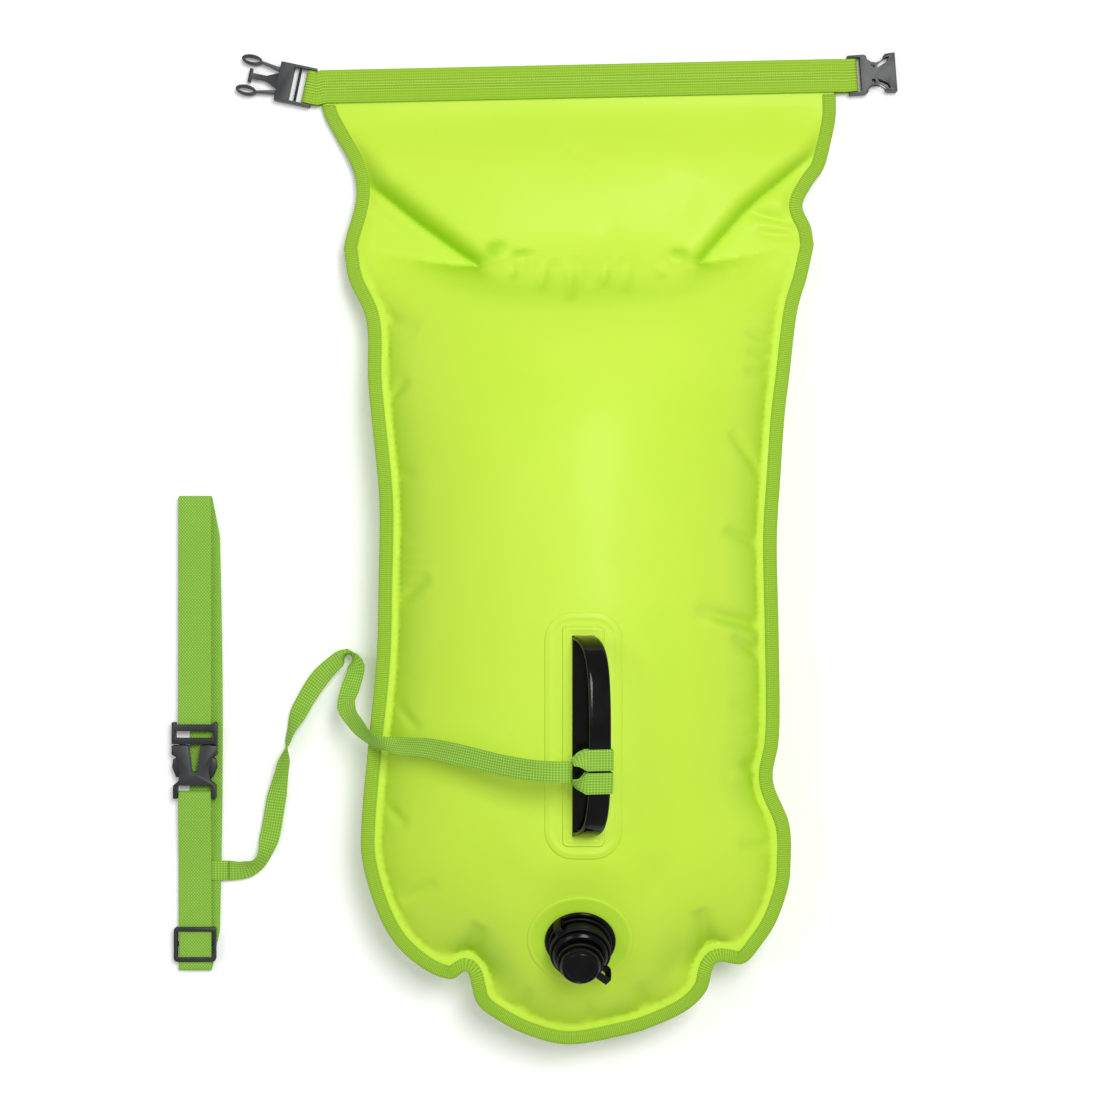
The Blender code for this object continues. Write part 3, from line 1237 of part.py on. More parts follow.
def build_adjuster(finishes):
    """A three-bar slide: the webbing runs over its middle bar and under its outer ones."""
    black = finishes["buckle"]
    levels = BeltLevels
    low = levels.adjuster_low
    channel_low = low + ADJUSTER_DEPTH
    channel_high = channel_low + ADJUSTER_CHANNEL
    high = channel_high + ADJUSTER_DEPTH
    wide, half = ADJUSTER_HALF_WIDTH, ADJUSTER_HALF_LENGTH
    inner = WEBBING_WIDTH / 2 + 2 * RUN_GAP
    frame = Matrix.Translation((-BELT_FRONT_OUT, ADJUSTER_ALONG, 0))
    corner = wide - inner
    outline = rounded_outline(wide, half, corner, 3)
    slide = object_from("belt_adjuster", prism(outline, low, high), black, frame)
    window_half = half - ADJUSTER_BAR
    bar_half = ADJUSTER_BAR / 2
    cutters = [
        object_from("adjuster_window", box(-inner, inner, -window_half, window_half, channel_low, high + OVERRUN),
                    black, frame),
        object_from("adjuster_channel", box(-inner, inner, -half - OVERRUN, half + OVERRUN, low - OVERRUN,
                                            channel_high), black, frame)]
    cut(slide, *cutters)
    bar = object_from("adjuster_bar", box(-inner - corner / 2, inner + corner / 2, -bar_half, bar_half, low,
                                          channel_low), black, frame)
    join(slide, bar)


def build_belt_loop(finishes):
    """The leash's far end, sewn as a loop round the belt's back layer."""
    end = leash_place(*LEASH_ROUTE_SHARES[-1][0])
    y = end.y
    middle = belt_across(y, BELT_BACK_HEIGHT)
    out = WEBBING_WIDTH / 2 + 2 * RUN_GAP + LEASH / 2
    rise = BELT / 2 + LAYER_GAP + LEASH / 2
    clear = BELT_BACK_HEIGHT
    start = end.x - RUN_GAP
    centres = [Vector((start, y, end.z)), Vector((middle + out * 0.9, y, clear + rise)),
               Vector((middle, y, clear + rise)), Vector((middle - out * 0.93, y, clear + rise)),
               Vector((middle - out - LEASH / 3, y, clear)), Vector((middle - out * 0.93, y, clear - rise)),
               Vector((middle, y, clear - rise)), Vector((middle + out * 0.9, y, clear - rise))]
    object_from("leash_belt_loop", ribbon(centres, [(0, 1, 0)] * len(centres), LEASH_WIDTH, LEASH),
                finishes["leash"])


def main():
    for old in list(bpy.data.objects):
        bpy.data.objects.remove(old)
    finishes = {
        "skin": material("lime coated skin", (0.55, 0.90, 0.03), 0.45),
        "liner": material("lime liner", (0.50, 0.82, 0.05), 0.50),
        "webbing": material("green webbing", (0.27, 0.52, 0.05), 0.80),
        "leash": material("green leash webbing", (0.30, 0.58, 0.07), 0.80),
        "belt": material("green belt webbing", (0.28, 0.60, 0.04), 0.80),
        "buckle": material("black moulded plastic", (0.03, 0.03, 0.032), 0.45),
        "handle": material("black glossy strap", (0.01, 0.01, 0.01), 0.15),
        "valve": material("black valve plastic", (0.012, 0.012, 0.012), 0.25),
        "rubber": material("black soft rubber", (0.015, 0.015, 0.015), 0.40),
        "stiffener": material("natural stiffener strip", (0.80, 0.80, 0.78), 0.50),
    }
    edge = Edge()
    front_skin, sheet = build_float(edge, finishes)
    middle, bar_level, bars = build_mouth(edge, finishes)
    mouth = mouth_frame()
    plug_frame = mouth @ Matrix.Translation((bars[0], middle, bar_level)) \
        @ Matrix.Rotation(math.pi - PLUG_TURN, 4, "Z")
    build_plug(plug_frame, finishes)
    socket_frame = mouth @ Matrix.Translation((bars[1], middle, bar_level)) \
        @ Matrix.Rotation(SOCKET_TURN, 4, "Z")
    build_socket(socket_frame, finishes)
    grip_pivot = build_handle(sheet, finishes)
    build_hitch(grip_pivot, finishes)
    build_leash(finishes)
    build_valve(front_skin, sheet, finishes)
    sheet.free()
    build_belt(finishes)


main()
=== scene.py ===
"""Looks of an open water swim buoy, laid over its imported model.

The inflated float, its roll-top mouth, handle, valve, leash and waist belt are dressed in the model's own frame:
X to the right, Y from the valve end to the mouth, Z up out of the front. All lengths are in metres.
"""

import logging
import math
from dataclasses import dataclass, field
from enum import Enum
from functools import cache
from typing import Iterable, Sequence

import bmesh
import bpy
import numpy as np
from mathutils import Matrix, Vector, noise
from mathutils.bvhtree import BVHTree
from mathutils.geometry import delaunay_2d_cdt
from mathutils.kdtree import KDTree


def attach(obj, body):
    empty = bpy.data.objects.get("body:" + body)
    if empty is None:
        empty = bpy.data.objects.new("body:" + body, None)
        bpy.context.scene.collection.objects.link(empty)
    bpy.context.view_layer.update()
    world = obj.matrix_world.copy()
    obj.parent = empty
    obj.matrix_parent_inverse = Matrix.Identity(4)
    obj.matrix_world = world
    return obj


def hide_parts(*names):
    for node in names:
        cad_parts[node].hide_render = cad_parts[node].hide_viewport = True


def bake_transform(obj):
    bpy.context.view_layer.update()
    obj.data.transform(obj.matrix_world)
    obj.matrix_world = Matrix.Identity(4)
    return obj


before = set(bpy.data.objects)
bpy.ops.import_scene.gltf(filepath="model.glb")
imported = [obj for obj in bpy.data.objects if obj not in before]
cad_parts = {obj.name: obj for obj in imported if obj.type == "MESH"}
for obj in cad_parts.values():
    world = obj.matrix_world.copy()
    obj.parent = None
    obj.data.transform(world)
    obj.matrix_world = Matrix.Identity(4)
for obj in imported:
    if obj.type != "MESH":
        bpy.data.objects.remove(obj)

LOG = logging.getLogger("swim_buoy")
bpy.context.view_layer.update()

Array = np.ndarray
Mixable = float | Vector | Array
Pair = tuple[float, float]
Triple = tuple[float, float, float]
Finish = bpy.types.Material
Pairs = Sequence[Pair]
Piece = bpy.types.Object

CAMERA_HEIGHT = 2.03
PHOTO_LEVEL = 0.03
PIXEL = 0.00075
PHOTO_SIDE = 1100
AIM = Vector((-0.01875, 0.0675))


def at_photo(across: float, down: float, height: float) -> Vector:
    """Finds where a pixel of the photograph lies at a height.

    Args:
        across: The pixel's distance from the photograph's left edge.
        down: The pixel's distance from its top edge.
        height: The height above the ground.

    Returns:
        The place.
    """
    scale = PIXEL * (CAMERA_HEIGHT - height) / (CAMERA_HEIGHT - PHOTO_LEVEL)
    return Vector((AIM.x + (across - PHOTO_SIDE / 2) * scale, AIM.y + (PHOTO_SIDE / 2 - down) * scale, height))


def plan_at(pixel: Pair, height: float) -> Array:
    """Gives the place of a pixel of the photograph on the flat, for something at a height."""
    return np.array(at_photo(*pixel, height)[:2])


def smoothstep(share: "float | Array") -> "float | Array":
    """Eases a share, or each of many, from 0 to 1."""
    share = np.clip(share, 0.0, 1.0)
    return share * share * (3.0 - 2.0 * share)


def mixed(start: Mixable, end: Mixable, share: "float | Array") -> Mixable:
    """Mixes two numbers or vectors."""
    return start + (end - start) * share


def smooth_line(points: Sequence, steps: int) -> list[Vector]:
    """Draws a smooth curve through points.

    Args:
        points: The points that it passes, in order.
        steps: The number of equal steps to return.

    Returns:
        steps + 1 points, evenly spaced along the curve.
    """
    points = [Vector(p) for p in points]
    ends = [2 * points[0] - points[1]] + points + [2 * points[-1] - points[-2]]
    fine_steps = 24
    fine = []
    for before, start, end, after in zip(ends, ends[1:], ends[2:], ends[3:]):
        for step in range(fine_steps):
            t = step / fine_steps
            fine.append(0.5 * (2 * start + (end - before) * t
                               + (2 * before - 5 * start + 4 * end - after) * t * t
                               + (3 * start - before - 3 * end + after) * t * t * t))
    fine.append(points[-1])
    along = [0.0]
    for start, end in zip(fine, fine[1:]):
        along.append(along[-1] + (end - start).length)
    line, at = [], 0
    for step in range(steps + 1):
        wanted = along[-1] * step / steps
        while at < len(fine) - 2 and along[at + 1] < wanted:
            at += 1
        share = (wanted - along[at]) / (along[at + 1] - along[at])
        line.append(mixed(fine[at], fine[at + 1], min(max(share, 0.0), 1.0)))
    return line


# Shader maths


class Wire:
    """A value in a shader, which sums and products turn into Math nodes."""

    def __init__(self, tree: bpy.types.NodeTree, socket: bpy.types.NodeSocket) -> None:
        """Wraps a node's output socket."""
        self.tree = tree
        self.socket = socket

    def math(self, operation: str, *values: "Wire | float") -> "Wire":
        """Adds a Math node.

        Args:
            operation: The node's operation.
            values: Its inputs, in order.

        Returns:
            Its result.
        """
        node = self.tree.nodes.new("ShaderNodeMath")
        node.operation = operation
        for slot, value in zip(node.inputs, values):
            if isinstance(value, Wire):
                self.tree.links.new(value.socket, slot)
            else:
                slot.default_value = value
        return Wire(self.tree, node.outputs[0])

    def __add__(self, other: "Wire | float") -> "Wire":
        """Adds a value."""
        return self.math("ADD", self, other)

    def __sub__(self, other: "Wire | float") -> "Wire":
        """Takes a value away."""
        return self.math("SUBTRACT", self, other)

    def __rsub__(self, other: float) -> "Wire":
        """Takes this from a number."""
        return self.math("SUBTRACT", other, self)

    def __mul__(self, other: "Wire | float") -> "Wire":
        """Multiplies by a value."""
        return self.math("MULTIPLY", self, other)

    __radd__, __rmul__ = __add__, __mul__

    def sine(self) -> "Wire":
        """Takes the sine."""
        return self.math("SINE", self)

    def size(self) -> "Wire":
        """Takes the absolute value."""
        return self.math("ABSOLUTE", self)

    def between(self, low: float, high: float) -> "Wire":
        """Spreads low to high over 0 to 1, clamped.

        Args:
            low: The value that becomes 0.
            high: The value that becomes 1.

        Returns:
            The wire of the share.
        """
        node = self.tree.nodes.new("ShaderNodeMapRange")
        node.inputs["From Min"].default_value = low
        node.inputs["From Max"].default_value = high
        self.tree.links.new(self.socket, node.inputs["Value"])
        return Wire(self.tree, node.outputs["Result"])


class Shader:
    """One material's node tree, built on its Principled BSDF."""

    def __init__(self, name: str, colour: Sequence[float], roughness: float) -> None:
        """Starts a material.

        Args:
            name: The material's name.
            colour: Its plain colour.
            roughness: Its plain roughness.
        """
        self.material = bpy.data.materials.new(name)
        self.material.use_nodes = True
        self.tree = self.material.node_tree
        self.surface = self.tree.nodes["Principled BSDF"]
        self.fix("Base Color", (*colour, 1.0))
        self.fix("Roughness", roughness)
        self.material.diffuse_color = (*colour, 1.0)

    def fix(self, socket: str, value: object) -> None:
        """Sets one of the surface's own sockets to a constant."""
        self.surface.inputs[socket].default_value = value

    def feed(self, socket: str, wire: Wire) -> None:
        """Links a value into one of the surface's sockets."""
        self.tree.links.new(wire.socket, self.surface.inputs[socket])

    def node(self, kind: str, settings: dict[str, object], inputs: dict[str | int, object],
             output: str | int = 0) -> Wire:
        """Adds any node.

        Args:
            kind: The node's type.
            settings: Its own settings, set first.
            inputs: Values or links of its sockets, by name or number.
            output: The output to return.

        Returns:
            That output.
        """
        node = self.tree.nodes.new(kind)
        for name, value in settings.items():
            setattr(node, name, value)
        for name, value in inputs.items():
            if isinstance(value, Wire):
                self.tree.links.new(value.socket, node.inputs[name])
            else:
                node.inputs[name].default_value = value
        return Wire(self.tree, node.outputs[output])

    def place(self) -> Wire:
        """Gives the object's own coordinates."""
        return self.node("ShaderNodeTexCoord", {}, {}, "Object")

    def run(self) -> tuple[Wire, Wire]:
        """Gives the distance along and across a strip, in metres."""
        return self.split(self.node("ShaderNodeUVMap", {"uv_map": "run"}, {}, "UV"))

    def split(self, place: Wire) -> tuple[Wire, Wire]:
        """Gives the X and the Y of a place."""
        x, y = (self.node("ShaderNodeSeparateXYZ", {}, {0: place}, axis) for axis in "XY")
        return x, y

    def noise(self, place: Wire, scale: float, detail: float = 2.0, roughness: float = 0.5) -> Wire:
        """Adds a noise texture and gives its value."""
        return self.node("ShaderNodeTexNoise", {}, {"Vector": place, "Scale": scale, "Detail": detail,
                                                    "Roughness": roughness}, 0)

    def blend(self, below: "Sequence[float] | Wire", above: Sequence[float], share: Wire) -> Wire:
        """Lays a colour over a plain or linked one by a value."""
        base = below if isinstance(below, Wire) else (*below, 1.0)
        return self.node("ShaderNodeMix", {"data_type": "RGBA"}, {0: share, 6: base, 7: (*above, 1.0)}, 2)

    def bump(self, height: Wire, distance: float, strength: float = 1.0) -> None:
        """Feeds a height into the surface's normal."""
        self.feed("Normal", self.node("ShaderNodeBump", {}, {"Height": height, "Distance": distance,
                                                             "Strength": strength}, "Normal"))


@dataclass(frozen=True)
class CoatedSkin:
    """Coated lime fabric: an even fluorescent coat on a fine cloth that just shows through, with painted shade on
    steep faces and beside folds and a faint painted glow.
    """

    colour: Triple = (0.525, 0.75, 0.053)
    folded: Triple = (0.5, 0.735, 0.04)
    # Painted shade: the darker colour laid on steep faces and beside folds.
    painted_shade_colour: Triple = (0.27, 0.545, 0.002)
    roughness: float = 0.58
    thread: float = 0.0009
    # Painted glow: a faint constant emission in this colour.
    glow: Triple = (0.55, 0.95, 0.02)
    painted_glow_strength: float = 0.05

    def material(self, name: str = "lime coated skin") -> Finish:
        """Builds the material.

        Args:
            name: The material's name.

        Returns:
            The finished material.
        """
        shader = Shader(name, self.colour, self.roughness)
        place = shader.place()
        clouds = shader.noise(place, 9.0, 3.0)
        tint = shader.blend(self.colour, self.folded, clouds.between(0.42, 0.75))
        # Painted shade: a mesh attribute lays the darker colour on steep faces and beside the folds.
        tucked_and_painted_shade = shader.node("ShaderNodeAttribute", {"attribute_name": "tucked_and_painted_shade"}, {}, "Fac")
        shader.feed("Base Color", shader.blend(tint, self.painted_shade_colour, tucked_and_painted_shade))
        shader.feed("Roughness", self.roughness + clouds * 0.08 - 0.04)
        x, y = shader.split(place)
        turn = math.tau / self.thread
        cloth = (x * turn).sine() * (y * turn).sine()
        crinkle = shader.noise(place, 55.0, 4.0, 0.55)
        shader.bump(cloth * 0.035 + crinkle, 0.0009, 0.22)
        shader.fix("Specular IOR Level", 0.28)
        shader.fix("Coat Weight", 0.04)
        shader.fix("Coat Roughness", 0.2)
        # Painted glow: a faint emission that lights the coat whatever the lamps do.
        shader.fix("Emission Color", (*self.glow, 1.0))
        shader.fix("Emission Strength", self.painted_glow_strength)
        return shader.material


class Weave(Enum):
    """The weaves of the buoy's webbing."""

    CROSS_RIBBED = "fine ribs across the tape"
    GROSGRAIN = "fine ribs across and cords along it, stronger in the middle"
    FLECKED = "plain weave with lighter flecks"
    GRID = "plain weave with open dots"


@dataclass(frozen=True)
class Webbing:
    """Woven polypropylene tape, with painted shade in its weave's hollows and painted highlight on its raised
    threads.
    """

    weave: Weave
    colour: Triple
    # raised and deep: painted highlight on the raised threads and painted shade in the weave's hollows.
    raised: Triple
    deep: Triple
    rib: float
    row: float
    roughness: float = 0.72

    def material(self, name: str) -> Finish:
        """Builds the material.

        Args:
            name: The material's name.

        Returns:
            The material, which reads the strip's own run map.
        """
        shader = Shader(name, self.colour, self.roughness)
        along, across = shader.run()
        place = shader.place()
        wander = shader.noise(place, 900.0, 1.0) - 0.5
        ribs = ((along + wander * 0.00012) * (math.tau / self.rib)).sine()
        rows = ((across + wander * 0.00012) * (math.tau / self.row)).sine()
        if self.weave is Weave.CROSS_RIBBED:
            height = ribs * 0.7 + rows * 0.2
        elif self.weave is Weave.GROSGRAIN:
            middle = 1 - across.size().between(0.004, 0.0052)
            height = ribs * 0.28 + rows * (0.45 + middle * 0.5)
        elif self.weave is Weave.FLECKED:
            height = ribs * rows
        else:
            height = ribs * 0.5 + rows * 0.5
        # Colour follows the weave's relief: painted shade in its hollows, painted highlight on its raised threads.
        lit = height.between(-0.6, 1.0)
        tint = shader.blend(self.deep, self.colour, lit.between(0.0, 0.6))
        worn = shader.noise(place, 60.0, 2.0).between(0.35, 0.8)
        tint = shader.blend(tint, self.raised, lit.between(0.72, 1.0) * (0.55 + 0.45 * worn))
        shader.feed("Base Color", tint)
        shader.feed("Roughness", self.roughness + worn * 0.12 - 0.06)
        shader.bump(height, 0.00022, 0.8)
        shader.fix("Specular IOR Level", 0.18)
        return shader.material


@dataclass(frozen=True)
class Moulded:
    """Black moulded plastic or rubber with a fine skin and worn, lighter smears at random."""

    colour: Triple
    roughness: float
    grain: float = 700.0
    depth: float = 0.00006
    coat: float = 0.0
    gleam: float = 0.5

    def material(self, name: str) -> Finish:
        """Builds the material.

        Args:
            name: The material's name.

        Returns:
            The finished material.
        """
        shader = Shader(name, self.colour, self.roughness)
        place = shader.place()
        smear = shader.noise(place, 38.0, 3.0)
        lighter = tuple(c * 1.9 + 0.004 for c in self.colour)
        shader.feed("Base Color", shader.blend(self.colour, lighter, smear.between(0.45, 0.85)))
        shader.feed("Roughness", self.roughness + smear * 0.16 - 0.08)
        shader.bump(shader.noise(place, self.grain, 2.0), self.depth, 0.6)
        shader.fix("Specular IOR Level", self.gleam)
        shader.fix("Coat Weight", self.coat)
        shader.fix("Coat Roughness", 0.06)
        return shader.material


@dataclass(frozen=True)
class Strip:
    """A pale flexible strip, hidden in the mouth."""

    colour: Triple = (0.75, 0.75, 0.72)

    def material(self, name: str) -> Finish:
        """Builds the material.

        Args:
            name: The material's name.

        Returns:
            The finished material.
        """
        shader = Shader(name, self.colour, 0.5)
        shader.feed("Roughness", 0.42 + shader.noise(shader.place(), 80.0) * 0.16)
        return shader.material


class Finishes:
    """Every finish on the buoy, made once."""

    def __init__(self) -> None:
        """Builds the materials."""
        # Webbing colours: plain, painted highlight on the raised threads, painted shade in the weave's hollows.
        lime_webbing = dict(colour=(0.33, 0.56, 0.04), raised=(0.52, 0.74, 0.11), deep=(0.22, 0.42, 0.018))
        self.skin = CoatedSkin().material()
        self.patch = CoatedSkin(roughness=0.5).material("lime welded patch")
        self.shaded_patch = CoatedSkin(colour=(0.46, 0.735, 0.04), folded=(0.43, 0.71, 0.03)).material(
            "lime patch over the flange")
        self.liner = CoatedSkin(colour=(0.52, 0.82, 0.06)).material("lime liner film")
        self.tape = Webbing(Weave.CROSS_RIBBED, rib=0.0014, row=0.0011, **lime_webbing).material("edge tape")
        self.band = Webbing(Weave.GROSGRAIN, rib=0.0014, row=0.0021, **lime_webbing).material("mouth webbing")
        self.leash = Webbing(Weave.GRID, (0.28, 0.53, 0.055), (0.6, 0.8, 0.24), (0.19, 0.41, 0.03),
                             0.0022, 0.0019).material("leash webbing")
        self.belt = Webbing(Weave.FLECKED, (0.25, 0.5, 0.05), (0.6, 0.8, 0.3), (0.19, 0.42, 0.035),
                            0.0026, 0.0022).material("belt webbing")
        self.stitch = Shader("lime thread", (0.42, 0.6, 0.1), 0.6).material
        self.buckle = Moulded((0.016, 0.017, 0.019), 0.4, depth=0.00004, gleam=0.4).material("black acetal")
        self.gloss = Moulded((0.002, 0.002, 0.002), 0.12, grain=90.0, gleam=0.2).material("black glossy strap")
        self.valve = Moulded((0.0025, 0.0025, 0.003), 0.2, grain=200.0, gleam=0.16).material("black valve plastic")
        self.rubber = Moulded((0.005, 0.005, 0.005), 0.42, gleam=0.2).material("black soft rubber")
        self.strip = Strip().material("natural stiffener")


# Meshes


def linked(name: str, data: bpy.types.ID) -> Piece:
    """Puts a new object with its data into the scene.

    Args:
        name: The object's name.
        data: Its mesh, light or camera.

    Returns:
        The object.
    """
    made = bpy.data.objects.new(name, data)
    bpy.context.scene.collection.objects.link(made)
    return made


def new_piece(name: str, verts: Iterable, faces: Iterable, finish: Finish) -> Piece:
    """Makes a smooth object at the origin.

    Args:
        name: The piece's name.
        verts: Its points.
        faces: Its faces, as lists of point numbers.
        finish: Its material.

    Returns:
        The object.
    """
    mesh = bpy.data.meshes.new(name)
    mesh.from_pydata([tuple(v) for v in verts], [], [tuple(f) for f in faces])
    mesh.materials.append(finish)
    mesh.shade_smooth()
    return linked(name, mesh)


def finished(name: str, bm: bmesh.types.BMesh, finish: Finish) -> Piece:
    """Turns a built mesh into a smooth object at the origin.

    Args:
        name: The object's name.
        bm: The built mesh, which is freed.
        finish: Its material.

    Returns:
        The object.
    """
    mesh = bpy.data.meshes.new(name)
    bm.to_mesh(mesh)
    bm.free()
    mesh.materials.append(finish)
    mesh.shade_smooth()
    return linked(name, mesh)


def settled(piece: Piece) -> Piece:
    """Turns a piece and its modifiers into a plain mesh at the origin.

    Args:
        piece: The piece; its modifiers and its place go into the mesh.

    Returns:
        The same piece.
    """
    graph = bpy.context.evaluated_depsgraph_get()
    mesh = bpy.data.meshes.new_from_object(piece.evaluated_get(graph))
    mesh.transform(piece.matrix_world)
    piece.modifiers.clear()
    piece.matrix_world = Matrix.Identity(4)
    old = piece.data
    piece.data = mesh
    bpy.data.meshes.remove(old)
    return piece


def rounded_copy(node: str, name: str, bevel: float, finish: Finish) -> Piece:
    """Copies a solid of the model and rounds its edges as a mould does.

    Args:
        node: The solid's name.
        name: The new piece's name.
        bevel: The width of the rounding.
        finish: Its material.

    Returns:
        The rounded piece.
    """
    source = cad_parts[node]
    bm = bmesh.new()
    bm.from_mesh(source.data)
    bm.transform(source.matrix_world)
    bmesh.ops.remove_doubles(bm, verts=bm.verts, dist=0.00001)
    bmesh.ops.dissolve_limit(bm, angle_limit=math.radians(1.5), verts=bm.verts, edges=bm.edges)
    piece = finished(name, bm, finish)
    step = piece.modifiers.new("mould", "BEVEL")
    step.width = bevel
    step.segments = 3
    step.limit_method = "ANGLE"
    step.angle_limit = math.radians(28)
    settled(piece)
    piece.data.shade_smooth()
    piece.data.set_sharp_from_angle(angle=math.radians(50))
    return piece


def tube(name: str, rings: Sequence[Sequence], lengths: Sequence[float], section: Pairs, finish: Finish) -> Piece:
    """Skins rings of places into a closed tube with a run map for its weave.

    Args:
        name: The piece's name.
        rings: The rings along it, each with a place for every corner of the section.
        lengths: How far along it each ring lies.
        section: Its section: the place across it and the height of each corner.
        finish: Its material.

    Returns:
        The tube.
    """
    bm = bmesh.new()
    run_map = bm.loops.layers.uv.new("run")
    rings = [[bm.verts.new(place) for place in ring] for ring in rings]
    count = len(section)
    for i in range(len(rings) - 1):
        for k in range(count):
            corners = ((i, k), (i, (k + 1) % count), (i + 1, (k + 1) % count), (i + 1, k))
            made = bm.faces.new([rings[n][m] for n, m in corners])
            for loop, (n, m) in zip(made.loops, corners):
                loop[run_map].uv = (lengths[n], section[m][0])
    for ring, length in ((rings[0], lengths[0]), (rings[-1], lengths[-1])):
        cap = bm.faces.new(ring)
        for loop, (a, b) in zip(cap.loops, section):
            loop[run_map].uv = (length + b, a)
    bmesh.ops.recalc_face_normals(bm, faces=bm.faces)
    return finished(name, bm, finish)


def strap(name: str, line: Sequence[Vector], across: Sequence[Vector], width: float, thick: float,
          finish: Finish, columns: int = 6) -> Piece:
    """Weaves a flat strap with soft edges along a line.

    Args:
        name: The piece's name.
        line: Its middle line.
        across: The direction of its width at each point, shorter than 1 where it is gathered.
        width: Its width.
        thick: Its thickness.
        finish: Its material.
        columns: The faces over its width.

    Returns:
        The strap.
    """
    soft, edge = thick / 2, width / 2
    half = [(mixed(soft - edge, edge - soft, k / columns), soft) for k in range(columns + 1)]
    half += [(edge - soft * 0.3, soft * 0.7), (edge, 0), (edge - soft * 0.3, -soft * 0.7)]
    section = half + [(-a, -b) for a, b in half]
    rings, lengths = [], [0.0]
    for i, centre in enumerate(line):
        before = (centre - line[max(i - 1, 0)]).normalized()
        after = (line[min(i + 1, len(line) - 1)] - centre).normalized()
        along = (before + after).normalized()
        side = (across[i] - along * across[i].dot(along)).normalized()
        face = along.cross(side)
        mitre = max(along.dot(before), along.dot(after), 0.3)
        drawn = min(across[i].length, 1.0)
        rings.append([centre + side * a * drawn + face * b / mitre for a, b in section])
        if i:
            lengths.append(lengths[-1] + (centre - line[i - 1]).length)
    return tube(name, rings, lengths, section, finish)


def finer(line: Sequence[Vector], across: Sequence[Vector], step: float) -> tuple[list[Vector], list[Vector]]:
    """Splits a strap's line into short even steps, turning its width smoothly.

    Args:
        line: The corner points of the line.
        across: The width's direction at each.
        step: The longest step to leave.

    Returns:
        The finer line, and the width's direction at each of its points.
    """
    new_line, new_across = [], []
    for i in range(len(line) - 1):
        count = max(1, math.ceil((line[i + 1] - line[i]).length / step))
        for k in range(count):
            new_line.append(mixed(line[i], line[i + 1], k / count))
            new_across.append(mixed(across[i], across[i + 1], k / count))
    return new_line + [line[-1]], new_across + [across[-1]]


def stands_for(piece: Piece, nodes: Sequence[str], body: str) -> Piece:
    """Lets a piece ride on a body in place of solids of the model.

    Args:
        piece: The finished piece.
        nodes: Its solids; none for a detail of its own.
        body: The body that it rides on.

    Returns:
        The piece.
    """
    if nodes:
        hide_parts(*nodes)
    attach(piece, body)
    LOG.info("%s: %d faces", piece.name, len(piece.data.polygons))
    return piece


def joined(name: str, pieces: Sequence[Piece]) -> Piece:
    """Makes one object of several, with the first one's finish.

    Args:
        name: The new object's name.
        pieces: The objects, which are removed.

    Returns:
        The new object.
    """
    bm = bmesh.new()
    for piece in pieces:
        bm.from_mesh(piece.data)
    made = finished(name, bm, pieces[0].data.materials[0])
    for piece in pieces:
        old = piece.data
        bpy.data.objects.remove(piece)
        bpy.data.meshes.remove(old)
    return made


@dataclass(frozen=True)
class Thread:
    """A sewn or moulded row: the spacing of its marks, and the length, width and height of each."""

    pitch: float
    length: float
    width: float
    height: float = 0.0005


@cache
def mark_tree() -> bpy.types.NodeTree:
    """Builds the node tree that lays small rounded marks along a line, such as stitches or grip ribs.

    Returns:
        The tree, which is built once.
    """
    tree = bpy.data.node_groups.new("marks along a line", "GeometryNodeTree")
    face = tree.interface
    for name, kind in (("Line", "Geometry"), ("Pitch", "Float"), ("Length", "Float"), ("Width", "Float"),
                       ("Height", "Float"), ("Finish", "Material")):
        face.new_socket(name, in_out="INPUT", socket_type=f"NodeSocket{kind}")
    face.new_socket("Marks", in_out="OUTPUT", socket_type="NodeSocketGeometry")
    start, end, curve, even, mark, smooth, tangent, turn, size, place, real, dress = map(tree.nodes.new, (
        "NodeGroupInput", "NodeGroupOutput", "GeometryNodeMeshToCurve", "GeometryNodeResampleCurve",
        "GeometryNodeMeshUVSphere", "GeometryNodeSetShadeSmooth", "GeometryNodeInputTangent",
        "FunctionNodeAlignRotationToVector", "ShaderNodeCombineXYZ", "GeometryNodeInstanceOnPoints",
        "GeometryNodeRealizeInstances", "GeometryNodeSetMaterial"))
    even.mode = "LENGTH"
    turn.axis = "X"
    for name, value in (("Segments", 8), ("Rings", 5), ("Radius", 0.5)):
        mark.inputs[name].default_value = value
    for source, out, target, into in (
            (start, "Line", curve, "Mesh"), (curve, "Curve", even, "Curve"), (start, "Pitch", even, "Length"),
            (even, "Curve", place, "Points"), (mark, "Mesh", smooth, "Geometry"),
            (smooth, "Geometry", place, "Instance"), (tangent, "Tangent", turn, "Vector"),
            (turn, "Rotation", place, "Rotation"), (start, "Length", size, "X"), (start, "Width", size, "Y"),
            (start, "Height", size, "Z"), (size, "Vector", place, "Scale"),
            (place, "Instances", real, "Geometry"), (real, "Geometry", dress, "Geometry"),
            (start, "Finish", dress, "Material"), (dress, "Geometry", end, "Marks")):
        tree.links.new(source.outputs[out], target.inputs[into])
    return tree


